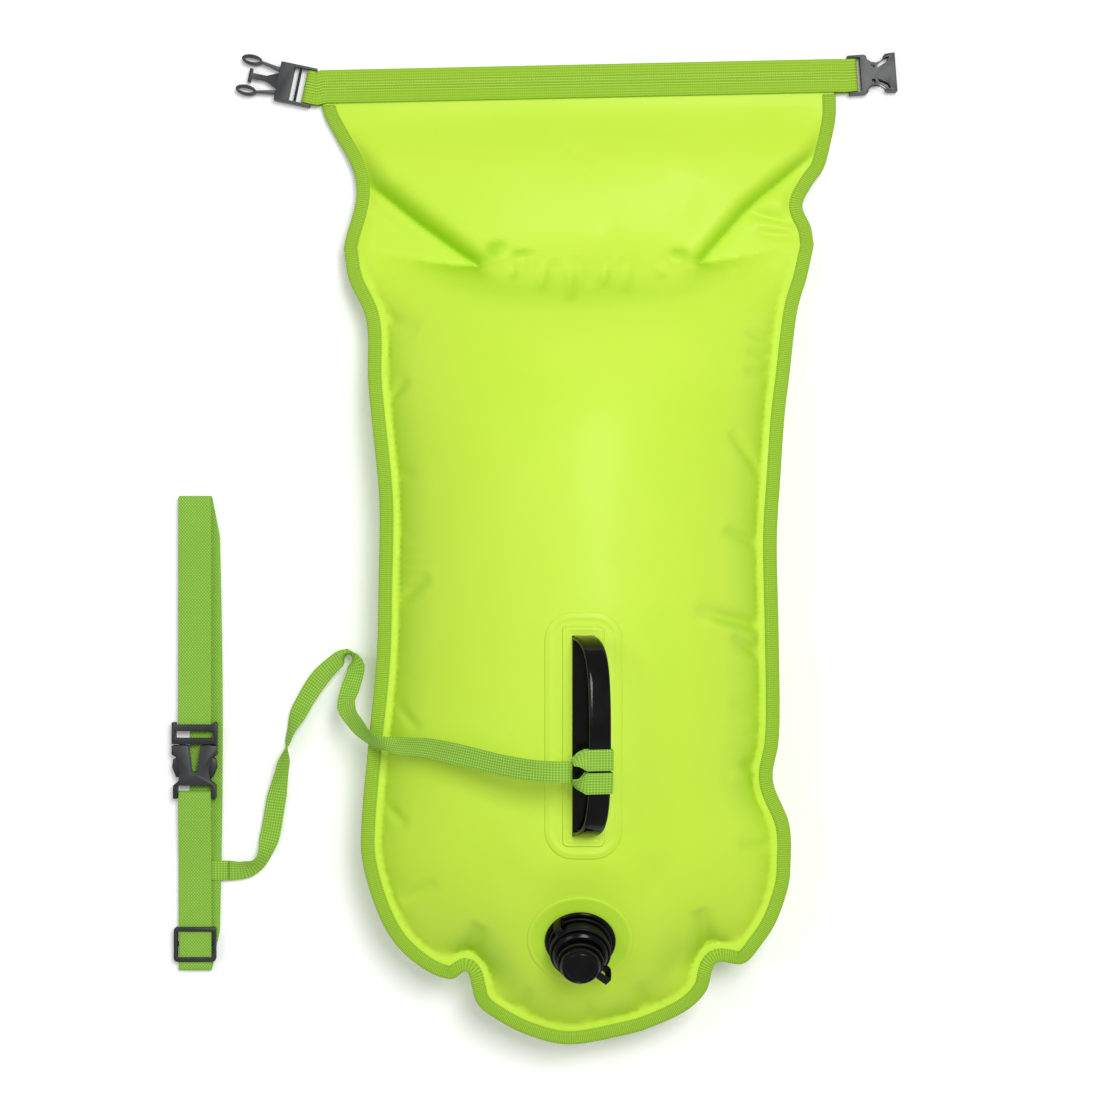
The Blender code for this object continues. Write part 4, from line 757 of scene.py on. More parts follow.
def sew(name: str, lines: Sequence[Sequence[Vector]], thread: Thread, finish: Finish, body: str,
        place: Matrix | None = None) -> Piece:
    """Sews rows of stitches, or moulds rows of ribs, along lines.

    Args:
        name: The piece's name.
        lines: The lines that the rows follow.
        thread: The marks' spacing and size.
        finish: Their material.
        body: The body that they ride on.
        place: Where the lines' own frame is, where they have one.

    Returns:
        The marks, as one plain mesh.
    """
    verts, edges = [], []
    for line in lines:
        first = len(verts)
        verts += [tuple(p) for p in line]
        edges += [(first + i, first + i + 1) for i in range(len(line) - 1)]
    mesh = bpy.data.meshes.new(name)
    mesh.from_pydata(verts, edges, [])
    piece = linked(name, mesh)
    if place is not None:
        piece.matrix_world = place
    step = piece.modifiers.new("marks", "NODES")
    step.node_group = mark_tree()
    values = {"Pitch": thread.pitch, "Length": thread.length, "Width": thread.width, "Height": thread.height,
              "Finish": finish}
    for item in step.node_group.interface.items_tree:
        if item.in_out == "INPUT" and item.name in values:
            step[item.identifier] = values[item.name]
    settled(piece)
    return stands_for(piece, (), body)


def rounded_profile(profile: Pairs, round_by: float) -> list[Pair]:
    """Rounds the corners of a closed outline of radii and heights.

    Args:
        profile: The outline's corners.
        round_by: How far from each corner its rounding starts.

    Returns:
        The rounded outline.
    """
    out = []
    count = len(profile)
    for i in range(count):
        before, here, after = (Vector(profile[(i + k) % count]) for k in (-1, 0, 1))
        if here.x == 0.0:
            out.append(tuple(here))
            continue
        back, ahead = before - here, after - here
        near = min(round_by, back.length * 0.45, ahead.length * 0.45)
        start, end = here + back.normalized() * near, here + ahead.normalized() * near
        for t in (0.0, 0.3, 0.7, 1.0):
            out.append(tuple(start * (1 - t) ** 2 + here * 2 * t * (1 - t) + end * t * t))
    return out


def circle(radius: float, count: int) -> list[Vector]:
    """Gives points round a circle."""
    return [Vector((math.cos(math.tau * k / count), math.sin(math.tau * k / count))) * radius for k in range(count)]


def turned(name: str, profile: Pairs, place: Matrix, finish: Finish) -> Piece:
    """Turns a closed outline round an axis, as on a lathe.

    Args:
        name: The piece's name.
        profile: The outline, in radii and heights.
        place: The frame whose Z is the axis.
        finish: Its material.

    Returns:
        The turned piece.
    """
    bm = bmesh.new()
    rings = [[bm.verts.new(place @ Vector((*(spoke * r), z))) for r, z in profile] for spoke in circle(1.0, 72)]
    count = len(profile)
    for ring, following in zip(rings, rings[1:] + rings[:1]):
        for i in range(count):
            j = (i + 1) % count
            bm.faces.new((ring[i], following[i], following[j], ring[j]))
    bmesh.ops.remove_doubles(bm, verts=bm.verts, dist=1e-7)
    bmesh.ops.recalc_face_normals(bm, faces=bm.faces)
    piece = finished(name, bm, finish)
    piece.data.set_sharp_from_angle(angle=math.radians(42))
    return piece


def rounded_box_outline(half_width: float, half_length: float, corner: float,
                        sides: tuple[int, int]) -> list[Vector]:
    """Draws a rectangle with round corners.

    Args:
        half_width: Half its size in X.
        half_length: Half its size in Y.
        corner: The corners' radius.
        sides: The steps along its short and long sides.

    Returns:
        Its points.
    """
    corner = max(corner, 0.00002)
    turns = 8
    points = []
    for sign_x, sign_y, start in ((1, 1, 0), (-1, 1, 90), (-1, -1, 180), (1, -1, 270)):
        middle = Vector((sign_x * (half_width - corner), sign_y * (half_length - corner)))
        for k in range(turns + 1):
            angle = math.radians(start + 90 * k / turns)
            points.append(middle + Vector((math.cos(angle), math.sin(angle))) * corner)
    out = []
    for i, point in enumerate(points):
        out.append(point)
        if (i + 1) % (turns + 1) == 0:
            after = points[(i + 1) % len(points)]
            count = sides[0] if (i + 1) // (turns + 1) % 2 else sides[1]
            out += [mixed(point, after, k / count) for k in range(1, count)]
    return out


# The float


@dataclass
class Plan:
    """The float's outline and heights, as its solids have them."""

    half_width: float = 0.16
    below: float = 0.298
    weld_above: float = 0.295
    weld_dip: float = 0.012
    fold_above: float = 0.409
    mouth_turn: float = 0.022
    seam: float = 0.058
    seam_level_above: float = 0.1
    mouth_height: float = 0.0049
    tape: float = 0.0008
    tape_width: float = 0.01
    gap: float = 0.0003
    margin: float = 0.0155
    side_steps: int = 560
    mouth_steps: int = 40
    weld_steps: int = 110
    edge_shares: tuple = (
        (-1.088, 1.000), (-1.059, 0.915), (-0.975, 0.81), (-0.963, 0.66), (-0.944, 0.56),
        (-0.906, 0.356), (-0.909, 0.153), (-0.919, -0.05), (-0.956, -0.252), (-0.988, -0.453),
        (-0.981, -0.554), (-0.913, -0.674), (-0.825, -0.755), (-0.694, -0.815), (-0.575, -0.838),
        (-0.5, -0.82), (-0.456, -0.896), (-0.369, -0.936), (-0.219, -0.977), (-0.025, -1.000),
        (0.225, -0.977), (0.356, -0.956), (0.513, -0.916), (0.606, -0.866), (0.65, -0.798),
        (0.775, -0.8), (0.856, -0.755), (0.928, -0.695), (0.981, -0.614), (0.994, -0.554),
        (0.988, -0.453), (0.913, -0.346), (0.938, -0.252), (0.944, -0.151), (0.938, 0.051),
        (0.931, 0.254), (0.947, 0.407), (0.969, 0.56), (0.994, 0.661), (1.038, 0.831),
        (1.088, 0.922), (1.125, 1.007),
    )
    left_mouth_shares: tuple = (
        (-1.088, 0.00), (-1.075, 0.1), (-1.044, 0.264), (-1.031, 0.41), (-1.056, 0.573),
        (-1.131, 0.773), (-1.181, 0.909), (-1.2, 1.00),
    )
    right_mouth_shares: tuple = (
        (1.125, 0.018), (1.113, 0.14), (1.075, 0.28), (1.125, 0.42), (1.181, 0.53),
        (1.219, 0.72), (1.238, 0.86), (1.238, 1.00),
    )
    points: list = field(default_factory=list)
    outward: list = field(default_factory=list)

    def __post_init__(self) -> None:
        """Draws the edge from the left end of the fold line round the bottom to its right end."""
        left = smooth_line([self.mouth_point(*s) for s in reversed(self.left_mouth_shares)], self.mouth_steps)
        body = smooth_line([self.edge_point(*s) for s in self.edge_shares], self.side_steps)
        right = smooth_line([self.mouth_point(*s) for s in self.right_mouth_shares], self.mouth_steps)
        self.points = left[:-1] + body + right[1:]
        last = len(self.points) - 1
        reach = 3
        for i in range(last + 1):
            ahead = (self.points[min(i + reach, last)] - self.points[max(i - reach, 0)]).normalized()
            self.outward.append(Vector((-ahead.y, ahead.x)) * -1)
        if self.outward[self.corners[0]].x > 0:
            self.outward = [-n for n in self.outward]

    @property
    def corners(self) -> tuple[int, int]:
        """The numbers of the edge's points where the weld meets its left and right sides."""
        return self.mouth_steps, self.mouth_steps + self.side_steps

    def edge_point(self, across: float, up: float) -> Vector:
        """Gives a point of the edge below the weld."""
        return Vector((across * self.half_width, up * (self.weld_above if up > 0 else self.below)))

    def fold_line(self, across: float) -> float:
        """Gives how far up the mouth's first fold lies."""
        return self.fold_above + self.mouth_turn * across

    def mouth_point(self, across: float, up: float) -> Vector:
        """Gives a point of the mouth's sides."""
        across *= self.half_width
        return Vector((across, mixed(self.weld_above, self.fold_line(across), up)))

    def inset(self, i: int, distance: float) -> Vector:
        """Moves a point of the edge inwards."""
        return self.points[i] - self.outward[i] * distance

    def seam_height(self, y: float) -> float:
        """Gives how high the middle of the edge lies.

        Args:
            y: The place along the float.

        Returns:
            The height over the ground.
        """
        low_end = self.fold_above - self.mouth_turn * self.half_width * 1.3
        share = smoothstep((y - self.seam_level_above) / (low_end - self.seam_level_above))
        return mixed(self.seam, self.mouth_height, share)

    def weld_line(self) -> list[Vector]:
        """Gives the weld that closes the chamber, from right to left.

        Returns:
            Its points, on the flat.
        """
        left, right = (self.inset(corner, self.margin) for corner in self.corners)
        points = []
        for step in range(self.weld_steps, -1, -1):
            share = step / self.weld_steps
            point = mixed(left, right, share)
            point.y -= self.weld_dip * (1 - abs(2 * share - 1) ** 3)
            points.append(point)
        return points


def inside(points: Array, loop: Array) -> Array:
    """Tells which points lie inside a closed loop.

    Args:
        points: The points, one a row.
        loop: The loop's corners in order.

    Returns:
        True for each point inside.
    """
    found = np.zeros(len(points), dtype=bool)
    x, y = points[:, 0], points[:, 1]
    for (ax, ay), (bx, by) in zip(loop, np.roll(loop, -1, axis=0)):
        if ay == by:
            continue
        crosses = (ay > y) != (by > y)
        found ^= crosses & (x < (bx - ax) * (y - ay) / (by - ay) + ax)
    return found


def finder(points: Sequence) -> KDTree:
    """Sorts points of a plan, so that the nearest one can be found.

    Args:
        points: The points.

    Returns:
        The tree to find them with.
    """
    tree = KDTree(len(points))
    for i, point in enumerate(points):
        tree.insert((*point, 0.0), i)
    tree.balance()
    return tree


@dataclass(frozen=True)
class Layout:
    """The float's points and triangles on the flat, and where each point lies.

    Two marks tell which points are in the chamber and in the mouth, two distances how far each is up from the weld
    and away from the seam, and the run how far along the seam.
    """

    points: Array
    triangles: Array
    chamber: Array
    mouth: Array
    over_weld: Array
    away: Array
    run: Array


def corners_of(points: Array, triangles: Array) -> tuple[Array, Array, Array]:
    """Gives the places of the triangles' three corners."""
    a, b, c = (points[triangles[:, k]] for k in range(3))
    return a, b, c


def spin(a: Array, b: Array, c: Array) -> Array:
    """Gives twice the area of flat triangles, negative where they turn clockwise."""
    return (b - a)[:, 0] * (c - a)[:, 1] - (b - a)[:, 1] * (c - a)[:, 0]


class Pillow:
    """The height of an inflated chamber over a flat plan, from the membrane that fills its outline."""

    def __init__(self, points: Array, triangles: Array, free: Array) -> None:
        """Prepares the membrane.

        Args:
            points: The plan's points.
            triangles: Its triangles.
            free: True for each point that is lifted.
        """
        self.free = free
        self.count = len(points)
        area = np.abs(spin(*corners_of(points, triangles))) / 2
        self.area = np.bincount(triangles.ravel(), np.repeat(area / 3, 3), self.count)
        starts, ends, weights = [], [], []
        for k in range(3):
            i, j, o = (triangles[:, (k + m) % 3] for m in range(3))
            u, v = points[i] - points[o], points[j] - points[o]
            starts.append(i)
            ends.append(j)
            weights.append(np.clip((u * v).sum(axis=1) / (4 * area), 0.0, 40.0))
        self.starts, self.ends, self.weights = (np.concatenate(x) for x in (starts, ends, weights))
        self.spread = (np.bincount(self.starts, self.weights, self.count)
                       + np.bincount(self.ends, self.weights, self.count))

    def pull(self, values: Array) -> Array:
        """Gives the membrane's pull on each point."""
        flow = (values[self.starts] - values[self.ends]) * self.weights
        return np.bincount(self.starts, flow, self.count) - np.bincount(self.ends, flow, self.count)

    def solve(self, load: Array, fixed: Array) -> Array:
        """Finds the membrane's heights by conjugate gradients.

        Args:
            load: The push on each point.
            fixed: The heights, which hold where a point isn't free.

        Returns:
            The heights.
        """
        heights = np.where(self.free, 0.0, fixed)
        rest = np.where(self.free, load - self.pull(heights), 0.0)
        scale = np.where(self.spread > 0, self.spread, 1.0)
        eased = rest / scale
        step = eased.copy()
        worth = (rest * eased).sum()
        first = worth
        for _ in range(500):
            answer = np.where(self.free, self.pull(step), 0.0)
            length = worth / (step * answer).sum()
            heights += length * step
            rest -= length * answer
            eased = rest / scale
            new_worth = (rest * eased).sum()
            if new_worth < first * 1e-12:
                break
            step = eased + step * (new_worth / worth)
            worth = new_worth
        return heights


@dataclass(frozen=True)
class Crease:
    """A fold in the skin: a line between two pixels of the photograph, with its width and depth."""

    start: Pair
    end: Pair
    width: float
    depth: float
    level: float = 0.06

    def lift(self, points: Array) -> Array:
        """Gives how far the fold lifts each point of a plan.

        Args:
            points: The plan's points, in metres.

        Returns:
            The height to add at each point.
        """
        first, last = (plan_at(pixel, self.level) for pixel in (self.start, self.end))
        span = last - first
        length = np.linalg.norm(span)
        span /= length
        away = points - first
        along = away @ span
        side = away @ np.array((-span[1], span[0]))
        share = np.clip(along / length, 0.0, 1.0)
        past = np.maximum(-along, along - length).clip(0.0)
        taper = np.sin(np.pi * share) ** 0.6 * np.exp(-(past / self.width) ** 2)
        return -self.depth * taper * np.exp(-(side / self.width) ** 2)


def creases(*rows: tuple[float, ...]) -> tuple[Crease, ...]:
    """Makes folds of rows: two pixels, a width, a depth and, where it isn't the usual one, a level."""
    return tuple(Crease(row[:2], row[2:4], *row[4:]) for row in rows)


@dataclass(frozen=True)
class Valley:
    """A sharp fold line through pixels of the photograph, with a raised panel on its left."""

    line: tuple[Pair, ...]
    slope_start: float
    slope_end: float
    flap: float
    level: float = 0.03

    def sides(self, points: Array) -> tuple[Array, Array]:
        """Measures points against the fold line, drawn on past both ends.

        Args:
            points: The plan's points.

        Returns:
            The distance of each, positive towards the panel, and its share of the way along the line.
        """
        corners = [plan_at(pixel, self.level) for pixel in self.line]
        corners[0] = corners[0] + (corners[0] - corners[1])
        corners[-1] = corners[-1] + (corners[-1] - corners[-2]) * 2
        lengths = [np.linalg.norm(b - a) for a, b in zip(corners, corners[1:])]
        best = np.full(len(points), np.inf)
        signed, share = np.zeros(len(points)), np.zeros(len(points))
        passed = 0.0
        for start, end, length in zip(corners, corners[1:], lengths):
            span = (end - start) / length
            away = points - start
            along = np.clip(away @ span, 0.0, length)
            gap = np.linalg.norm(away - along[:, None] * span, axis=1)
            side = away @ np.array((-span[1], span[0]))
            nearer = gap < best
            best = np.where(nearer, gap, best)
            signed = np.where(nearer, np.copysign(gap, side), signed)
            share = np.where(nearer, (passed + along) / sum(lengths), share)
            passed += length
        return signed, share

    def panel(self, points: Array) -> Array:
        """Gives how far each point is up the slope from the fold line to the panel, from 0 to 1.

        Args:
            points: The plan's points, in metres.

        Returns:
            A share for each point.
        """
        signed, share = self.sides(points)
        slope = mixed(self.slope_start, self.slope_end, share)
        up = np.clip(signed / slope, 0.0, 1.0)
        return 1 - (1 - up) ** 2.2

    def tucked_and_painted_shade(self, points: Array) -> Array:
        """Gives how much painted shade each point gets beside the fold line, from 0 to 1.

        Args:
            points: The plan's points, in metres.

        Returns:
            A share for each point.
        """
        signed, share = self.sides(points)
        reach = np.where(signed > 0, mixed(self.slope_start, self.slope_end, share) * 0.62, 0.0022)
        return np.exp(-(signed / reach) ** 2)

    def rim(self, points: Array) -> Array:
        """Gives how far the flap outside the fold line lifts each point.

        Args:
            points: The plan's points, in metres.

        Returns:
            The height to add at each point.
        """
        signed, _ = self.sides(points)
        out = np.clip(-signed, 0.0, None)
        return self.flap * (1 - np.exp(-out / 0.003)) * np.exp(-out / 0.06)


class Side(Enum):
    """The float's two faces."""

    FRONT = 1
    BACK = -1


@dataclass
class FloatSkin:
    """The inflated float: both skins, the liner between them and the tape round their edge."""

    plan: Plan
    finishes: Finishes
    front_rise: float = 0.082
    back_rise: float = 0.075
    mouth_fullness: float = 1.9
    valve_fullness: float = 1.5
    pitch: float = 0.0027
    weld_band: float = 0.005
    hem: float = 0.0262
    film: float = 0.0006
    mouth_puff: float = 0.008
    panel_rise: float = 0.014
    crease_strength: float = 1.6
    pucker_pitch: float = 0.017
    pucker_rise: float = 0.0011
    gather_pitch: float = 0.0128
    gather_rise: float = 0.0016
    ease_reach: Pair = (0.01, 0.028)
    ease_rounds: tuple[int, int] = (60, 16)
    ground: float = 0.0012
    handle_middle: Pair = (0.005, -0.064)
    handle_half: Pair = (0.015, 0.071)
    handle_level: float = 0.14
    handle_fade: float = 0.055
    valve_place: Triple = (0.003, -0.213, 0.110921)
    valve_axis: Triple = (-0.007238, -0.477957, 0.878353)
    valve_flat: float = 0.03
    valve_fade: float = 0.045
    valve_hole: float = 0.0178
    tops: dict = field(default_factory=dict)
    left_valley: Valley = Valley(((367, 180), (420, 223), (472, 261)), 0.024, 0.008, 0.003)
    right_valley: Valley = Valley(((706, 254), (746, 208), (805, 159)), 0.01, 0.016, 0.003)
    mouth_creases: tuple = creases(
        (340, 140, 484, 258, 0.01, -0.0016, 0.03), (742, 208, 800, 224, 0.0038, 0.0036, 0.03),
        (756, 231, 806, 235, 0.0034, 0.0032, 0.03), (752, 220, 800, 229, 0.0034, -0.0018, 0.03),
        (760, 196, 806, 206, 0.006, -0.0022, 0.03), (552, 140, 576, 147, 0.0042, 0.0011, 0.02),
        (562, 150, 596, 162, 0.004, 0.0014, 0.02), (613, 218, 603, 246, 0.005, 0.0013, 0.03),
        (690, 176, 676, 228, 0.014, 0.0016, 0.03), (640, 128, 720, 150, 0.011, 0.001, 0.01),
        (356, 196, 420, 246, 0.005, 0.0016, 0.03))
    weld_bumps: tuple = ((497, 249, 0.0075, 0.0044, 0.0048), (522, 255, 0.008, 0.0024, 0.0022),
                         (679, 255, 0.007, 0.0036, 0.004))
    weld_dents: tuple = creases(
        (512, 262, 514, 278, 0.0034, 0.0026), (545, 260, 541, 292, 0.0036, 0.0036),
        (571, 262, 570, 304, 0.004, 0.004), (587, 260, 590, 290, 0.003, -0.0014),
        (607, 262, 603, 288, 0.0036, 0.0036), (628, 262, 624, 294, 0.0038, 0.0026),
        (660, 262, 664, 278, 0.0034, 0.0026))
    # Short folds that the seams pull into the chamber, left, right and bottom
    seam_creases: tuple = creases(
        (352, 300, 420, 330, 0.007, 0.002), (388, 400, 410, 380, 0.0036, 0.0022),
        (392, 470, 418, 476, 0.004, 0.0012), (400, 603, 432, 576, 0.0042, 0.0026),
        (398, 704, 422, 728, 0.004, 0.0016), (384, 802, 410, 822, 0.004, 0.0018),
        (402, 900, 440, 876, 0.005, 0.002), (776, 337, 744, 332, 0.0034, 0.0018),
        (776, 355, 744, 352, 0.0034, 0.0018), (774, 373, 742, 372, 0.0034, 0.0016),
        (726, 432, 762, 478, 0.0042, 0.0026), (720, 530, 764, 548, 0.0042, 0.0026),
        (690, 608, 768, 630, 0.0056, 0.0042), (700, 620, 760, 640, 0.0046, -0.0016),
        (728, 634, 768, 664, 0.0042, 0.0026), (726, 700, 768, 712, 0.004, 0.0014),
        (738, 760, 776, 776, 0.0042, 0.003), (726, 770, 772, 788, 0.004, -0.0016),
        (736, 840, 770, 850, 0.0046, 0.0018), (458, 980, 482, 914, 0.007, 0.005, 0.05),
        (716, 964, 694, 900, 0.007, 0.0048, 0.05), (520, 1012, 532, 980, 0.005, 0.0018, 0.05),
        (590, 1018, 588, 990, 0.005, 0.0016, 0.05), (646, 1008, 636, 974, 0.005, 0.002, 0.05))

    def layout(self) -> Layout:
        """Spreads points over the plan and joins them by triangles.

        Returns:
            The points, the triangles and where each point lies.
        """
        plan, pitch = self.plan, self.pitch
        rim = [plan.inset(i, plan.tape + plan.gap) for i in range(len(plan.points))]
        for point in (rim[0], rim[-1]):
            point.y = plan.fold_line(point.x)
        up = Vector((-plan.mouth_turn, 1.0)).normalized() * self.hem
        left, right = rim[0] + up, rim[-1] + up
        outer = list(rim)
        for start, end, count in ((rim[-1], right, 8), (right, left, 130), (left, rim[0], 8)):
            outer += [mixed(start, end, k / count) for k in range(1, count + 1)]
        outer.pop()
        weld = plan.weld_line()
        foot = [plan.inset(i, plan.margin) for i in range(plan.corners[0] + 1, plan.corners[1])]
        bands = [1 - (2 * i / (len(weld) - 1) - 1) ** 4 for i in range(len(weld))]
        below_weld = [p - Vector((0, self.weld_band * band)) for p, band in zip(weld, bands)][1:-1]
        loop = foot + [weld[0]] + below_weld + [weld[-1]]
        outer_array, loop_array = np.array([tuple(p) for p in outer]), np.array([tuple(p) for p in loop])
        low, high = outer_array.min(axis=0), outer_array.max(axis=0)
        rows = np.arange(low[1], high[1], pitch * 0.866)
        grid = np.array([(x + (pitch / 2 if n % 2 else 0.0), y) for n, y in enumerate(rows)
                         for x in np.arange(low[0], high[0], pitch)])
        grid = grid[inside(grid, outer_array)]
        lines = outer + loop + weld[1:-1]
        tree = finder(lines)
        grid = [p for p in grid if tree.find((*p, 0.0))[2] > pitch * 0.55]
        points = lines + [Vector(p) for p in grid]
        edges = []
        for start, count in ((0, len(outer)), (len(outer), len(loop))):
            edges += [(start + i, start + (i + 1) % count) for i in range(count)]
        first_weld = len(outer) + len(loop)
        left_end, right_end = first_weld - 1, len(outer) + len(foot)
        chain = [right_end, *range(first_weld, first_weld + len(weld) - 2), left_end]
        edges += list(zip(chain, chain[1:]))
        out, _, faces, *_ = delaunay_2d_cdt(points, edges, [], 0, 1e-7)
        array = np.array([tuple(p) for p in out])
        triangles = np.array([tuple(f) for f in faces])
        triangles = triangles[inside(array[triangles].mean(axis=1), outer_array)]
        clockwise = spin(*corners_of(array, triangles)) < 0
        triangles[clockwise] = triangles[clockwise][:, ::-1]
        weld_xy = np.array([tuple(p) for p in reversed(weld)])
        tree = finder(loop)
        nearest = [tree.find((*p, 0.0)) for p in array]
        away = np.array([n[2] for n in nearest])
        weld_y = np.interp(array[:, 0], weld_xy[:, 0], weld_xy[:, 1])
        run = np.concatenate(([0.0], np.cumsum(np.linalg.norm(np.diff(loop_array, axis=0), axis=1))))
        return Layout(array, triangles, inside(array, loop_array) & (away > 1e-6), array[:, 1] > weld_y + 1e-6,
                      array[:, 1] - weld_y, away, run[np.array([n[1] for n in nearest])])

    def puckers(self, layout: Layout, seed: float) -> Array:
        """Gives the short gathers that the inflated wall makes along its seam.

        Args:
            layout: The float's layout.
            seed: A number that sets one face's gathers apart from the other's.

        Returns:
            How far each point is lifted off its face.
        """
        lift = np.zeros(len(layout.run))
        for i in np.nonzero(layout.chamber & (layout.away < 0.06))[0]:
            s, d = layout.run[i], layout.away[i]
            drift = noise.noise((s * 16.0, 3.1, seed)) * 1.9
            strength = 0.4 + 1.1 * noise.noise((s * 11.0, 7.7, seed + 1.0))
            reach = 0.008 + 0.01 * (0.5 + noise.noise((s * 26.0, 1.3, seed + 4.0)))
            wave = math.cos(math.tau * (s / self.pucker_pitch + drift))
            fold = math.copysign(abs(wave) ** 0.8, wave) * math.exp(-d / reach) * (1 - math.exp(-d / 0.0025))
            lift[i] = self.pucker_rise * max(strength, 0.05) * fold
        return lift

    def below_fold(self, points: Array, start: float, run: float) -> Array:
        """Gives how far each point is down from the mouth's first fold: 0 to 1 over a run that starts below it."""
        fold_y = self.plan.fold_above + self.plan.mouth_turn * points[:, 0]
        return np.clip((fold_y - points[:, 1] - start) / run, 0.0, 1.0)

    def mouth_folds(self, layout: Layout) -> Array:
        """Gives how far the flattened mouth rises: a panel between two sharp folds, with small creases.

        Args:
            layout: The float's layout.

        Returns:
            The height to add at each point.
        """
        points = layout.points
        fade = smoothstep(self.below_fold(points, 0.004, 0.05)) * smoothstep(layout.over_weld / 0.026 + 1)
        from_rim = self.rim_distance(points)
        rim_fade, near_rim = (np.clip(from_rim / reach, 0.0, 1.0) for reach in (0.007, 0.016))
        rise = self.panel_rise * self.left_valley.panel(points) * self.right_valley.panel(points)
        rise = rise * near_rim * (2 - near_rim)
        rise = rise + (self.left_valley.rim(points) + self.right_valley.rim(points)) * rim_fade
        for crease in self.mouth_creases:
            rise = rise + crease.lift(points) * rim_fade
        return rise * fade

    def weld_tucks(self, points: Array, above: float) -> list[tuple[Array, float]]:
        """Gives how much of each tuck on the weld is at each point, from 0 to 1, and the tuck's height.

        Args:
            points: The plan's points.
            above: How many pixels above each tuck's middle to look.

        Returns:
            A share for each point, and a height, for each tuck.
        """
        found = []
        for across, down, wide, high, lift in self.weld_bumps:
            off = points - plan_at((across, down - above), 0.035)
            found.append((np.exp(-(off[:, 0] / wide) ** 2 - (off[:, 1] / high) ** 2), lift))
        return found

    def painted_shade_marks(self, points: Array) -> Array:
        """Gives how much painted shade each point of the front gets beside the mouth's folds and on the bumps at the
        weld, from 0 to 1.

        Args:
            points: The plan's points, in metres.

        Returns:
            A share for each point.
        """
        over = points[:, 1] - (self.plan.weld_above - self.plan.weld_dip)
        mark = np.maximum(self.left_valley.tucked_and_painted_shade(points), self.right_valley.tucked_and_painted_shade(points) * 0.7)
        mark = mark * self.below_fold(points, 0.02, 0.045) * np.clip((over + 0.004) / 0.008, 0.0, 1.0)
        # Painted shade on the weld's bumps, a pixel above them.
        for share, _ in self.weld_tucks(points, 1):
            mark = np.maximum(mark, 0.7 * share)
        return mark

    def weld_gathers(self, layout: Layout) -> Array:
        """Gives how far each tuck on the weld and the gathers below it lift each point of the front.

        Args:
            layout: The float's layout.

        Returns:
            The height to add at each point.
        """
        points = layout.points
        across = points[:, 0]
        rise = sum(lift * share for share, lift in self.weld_tucks(points, 0))
        drift = np.array([noise.noise((x * 34.0, 5.0, 2.0)) for x in across])
        strength = np.array([0.55 + 1.3 * noise.noise((x * 41.0, 9.0, 6.0)) for x in across]).clip(0.05, 1.3)
        window = np.clip((0.092 - np.abs(across - 0.026)) / 0.02, 0.0, 1.0)
        gathers = np.cos(math.tau * (across / self.gather_pitch + drift * 1.4))
        below = -layout.over_weld + 0.001
        near = np.clip(below / 0.004, 0.0, 1.0) * np.exp(-np.clip(below, 0.0, None) / 0.011)
        rise = rise + self.gather_rise * gathers * window * near * strength
        for dent in self.weld_dents:
            rise = rise + dent.lift(points)
        return rise

    def heights(self, layout: Layout) -> dict[Side, Array]:
        """Gives the middle surfaces of both faces: a height for each point of each.

        Args:
            layout: The float's layout.

        Returns:
            The heights over the ground, for each face.
        """
        plan, points = self.plan, layout.points
        seam = np.array([plan.seam_height(y) for y in points[:, 1]])
        stretched = points.copy()
        stretched[:, 1] *= np.where(points[:, 1] > 0, self.mouth_fullness, self.valve_fullness)
        pillow = Pillow(stretched, layout.triangles, layout.chamber)
        lifted = pillow.solve(pillow.area, np.zeros(len(points)))
        full = (lifted / lifted.max()).clip(0.0, 1.0)
        base = pillow.solve(np.zeros(len(points)), seam)
        weld_y = plan.weld_above - plan.weld_dip
        fold_y = plan.fold_above + plan.mouth_turn * points[:, 0]
        up = np.clip((points[:, 1] - weld_y) / (fold_y - weld_y), 0.0, 1.0)
        across = np.clip(np.abs(points[:, 0]) / (plan.half_width * 1.02), 0.0, 1.0)
        puff = self.mouth_puff * np.sin(np.pi * up) ** 2 * np.cos(np.pi / 2 * across)
        folds = self.mouth_folds(layout)
        half = plan.half_width - plan.margin
        found = {}
        for side, rise in ((Side.FRONT, self.front_rise), (Side.BACK, self.back_rise)):
            radius = (half ** 2 + rise ** 2) / (2 * rise)
            dome = np.sqrt(radius ** 2 - half ** 2 * (1 - full)) - (radius - rise)
            out = np.where(layout.chamber, base + side.value * dome, seam)
            out = out + np.where(layout.mouth, puff, 0.0) + folds
            out = out + side.value * self.puckers(layout, 10.0 * side.value)
            if side is Side.FRONT:
                edge_fade = np.clip(layout.away / 0.004, 0.0, 1.0) * layout.chamber
                for crease in self.seam_creases:
                    out = out + crease.lift(points) * edge_fade * self.crease_strength
                out = self.seat(points, self.eased_weld(layout, out) + self.weld_gathers(layout), radius)
            found[side] = np.maximum(out, self.ground)
        return found

    def eased_weld(self, layout: Layout, heights: Array) -> Array:
        """Lets the front run from the mouth's panel into the chamber, where the weld shows as a faint line only.

        Args:
            layout: The float's layout.
            heights: The front's heights.

        Returns:
            The heights, smoothed near the middle of the weld.
        """
        window = np.clip((0.083 - np.abs(layout.points[:, 0] - 0.011)) / 0.015, 0.0, 1.0)
        near_weld, wider = (window * np.exp(-(layout.over_weld / reach) ** 2) for reach in self.ease_reach)
        starts = layout.triangles.T.ravel()
        ends = layout.triangles[:, [1, 2, 0]].T.ravel()
        count = len(layout.points)
        near = np.bincount(starts, minlength=count) + np.bincount(ends, minlength=count)

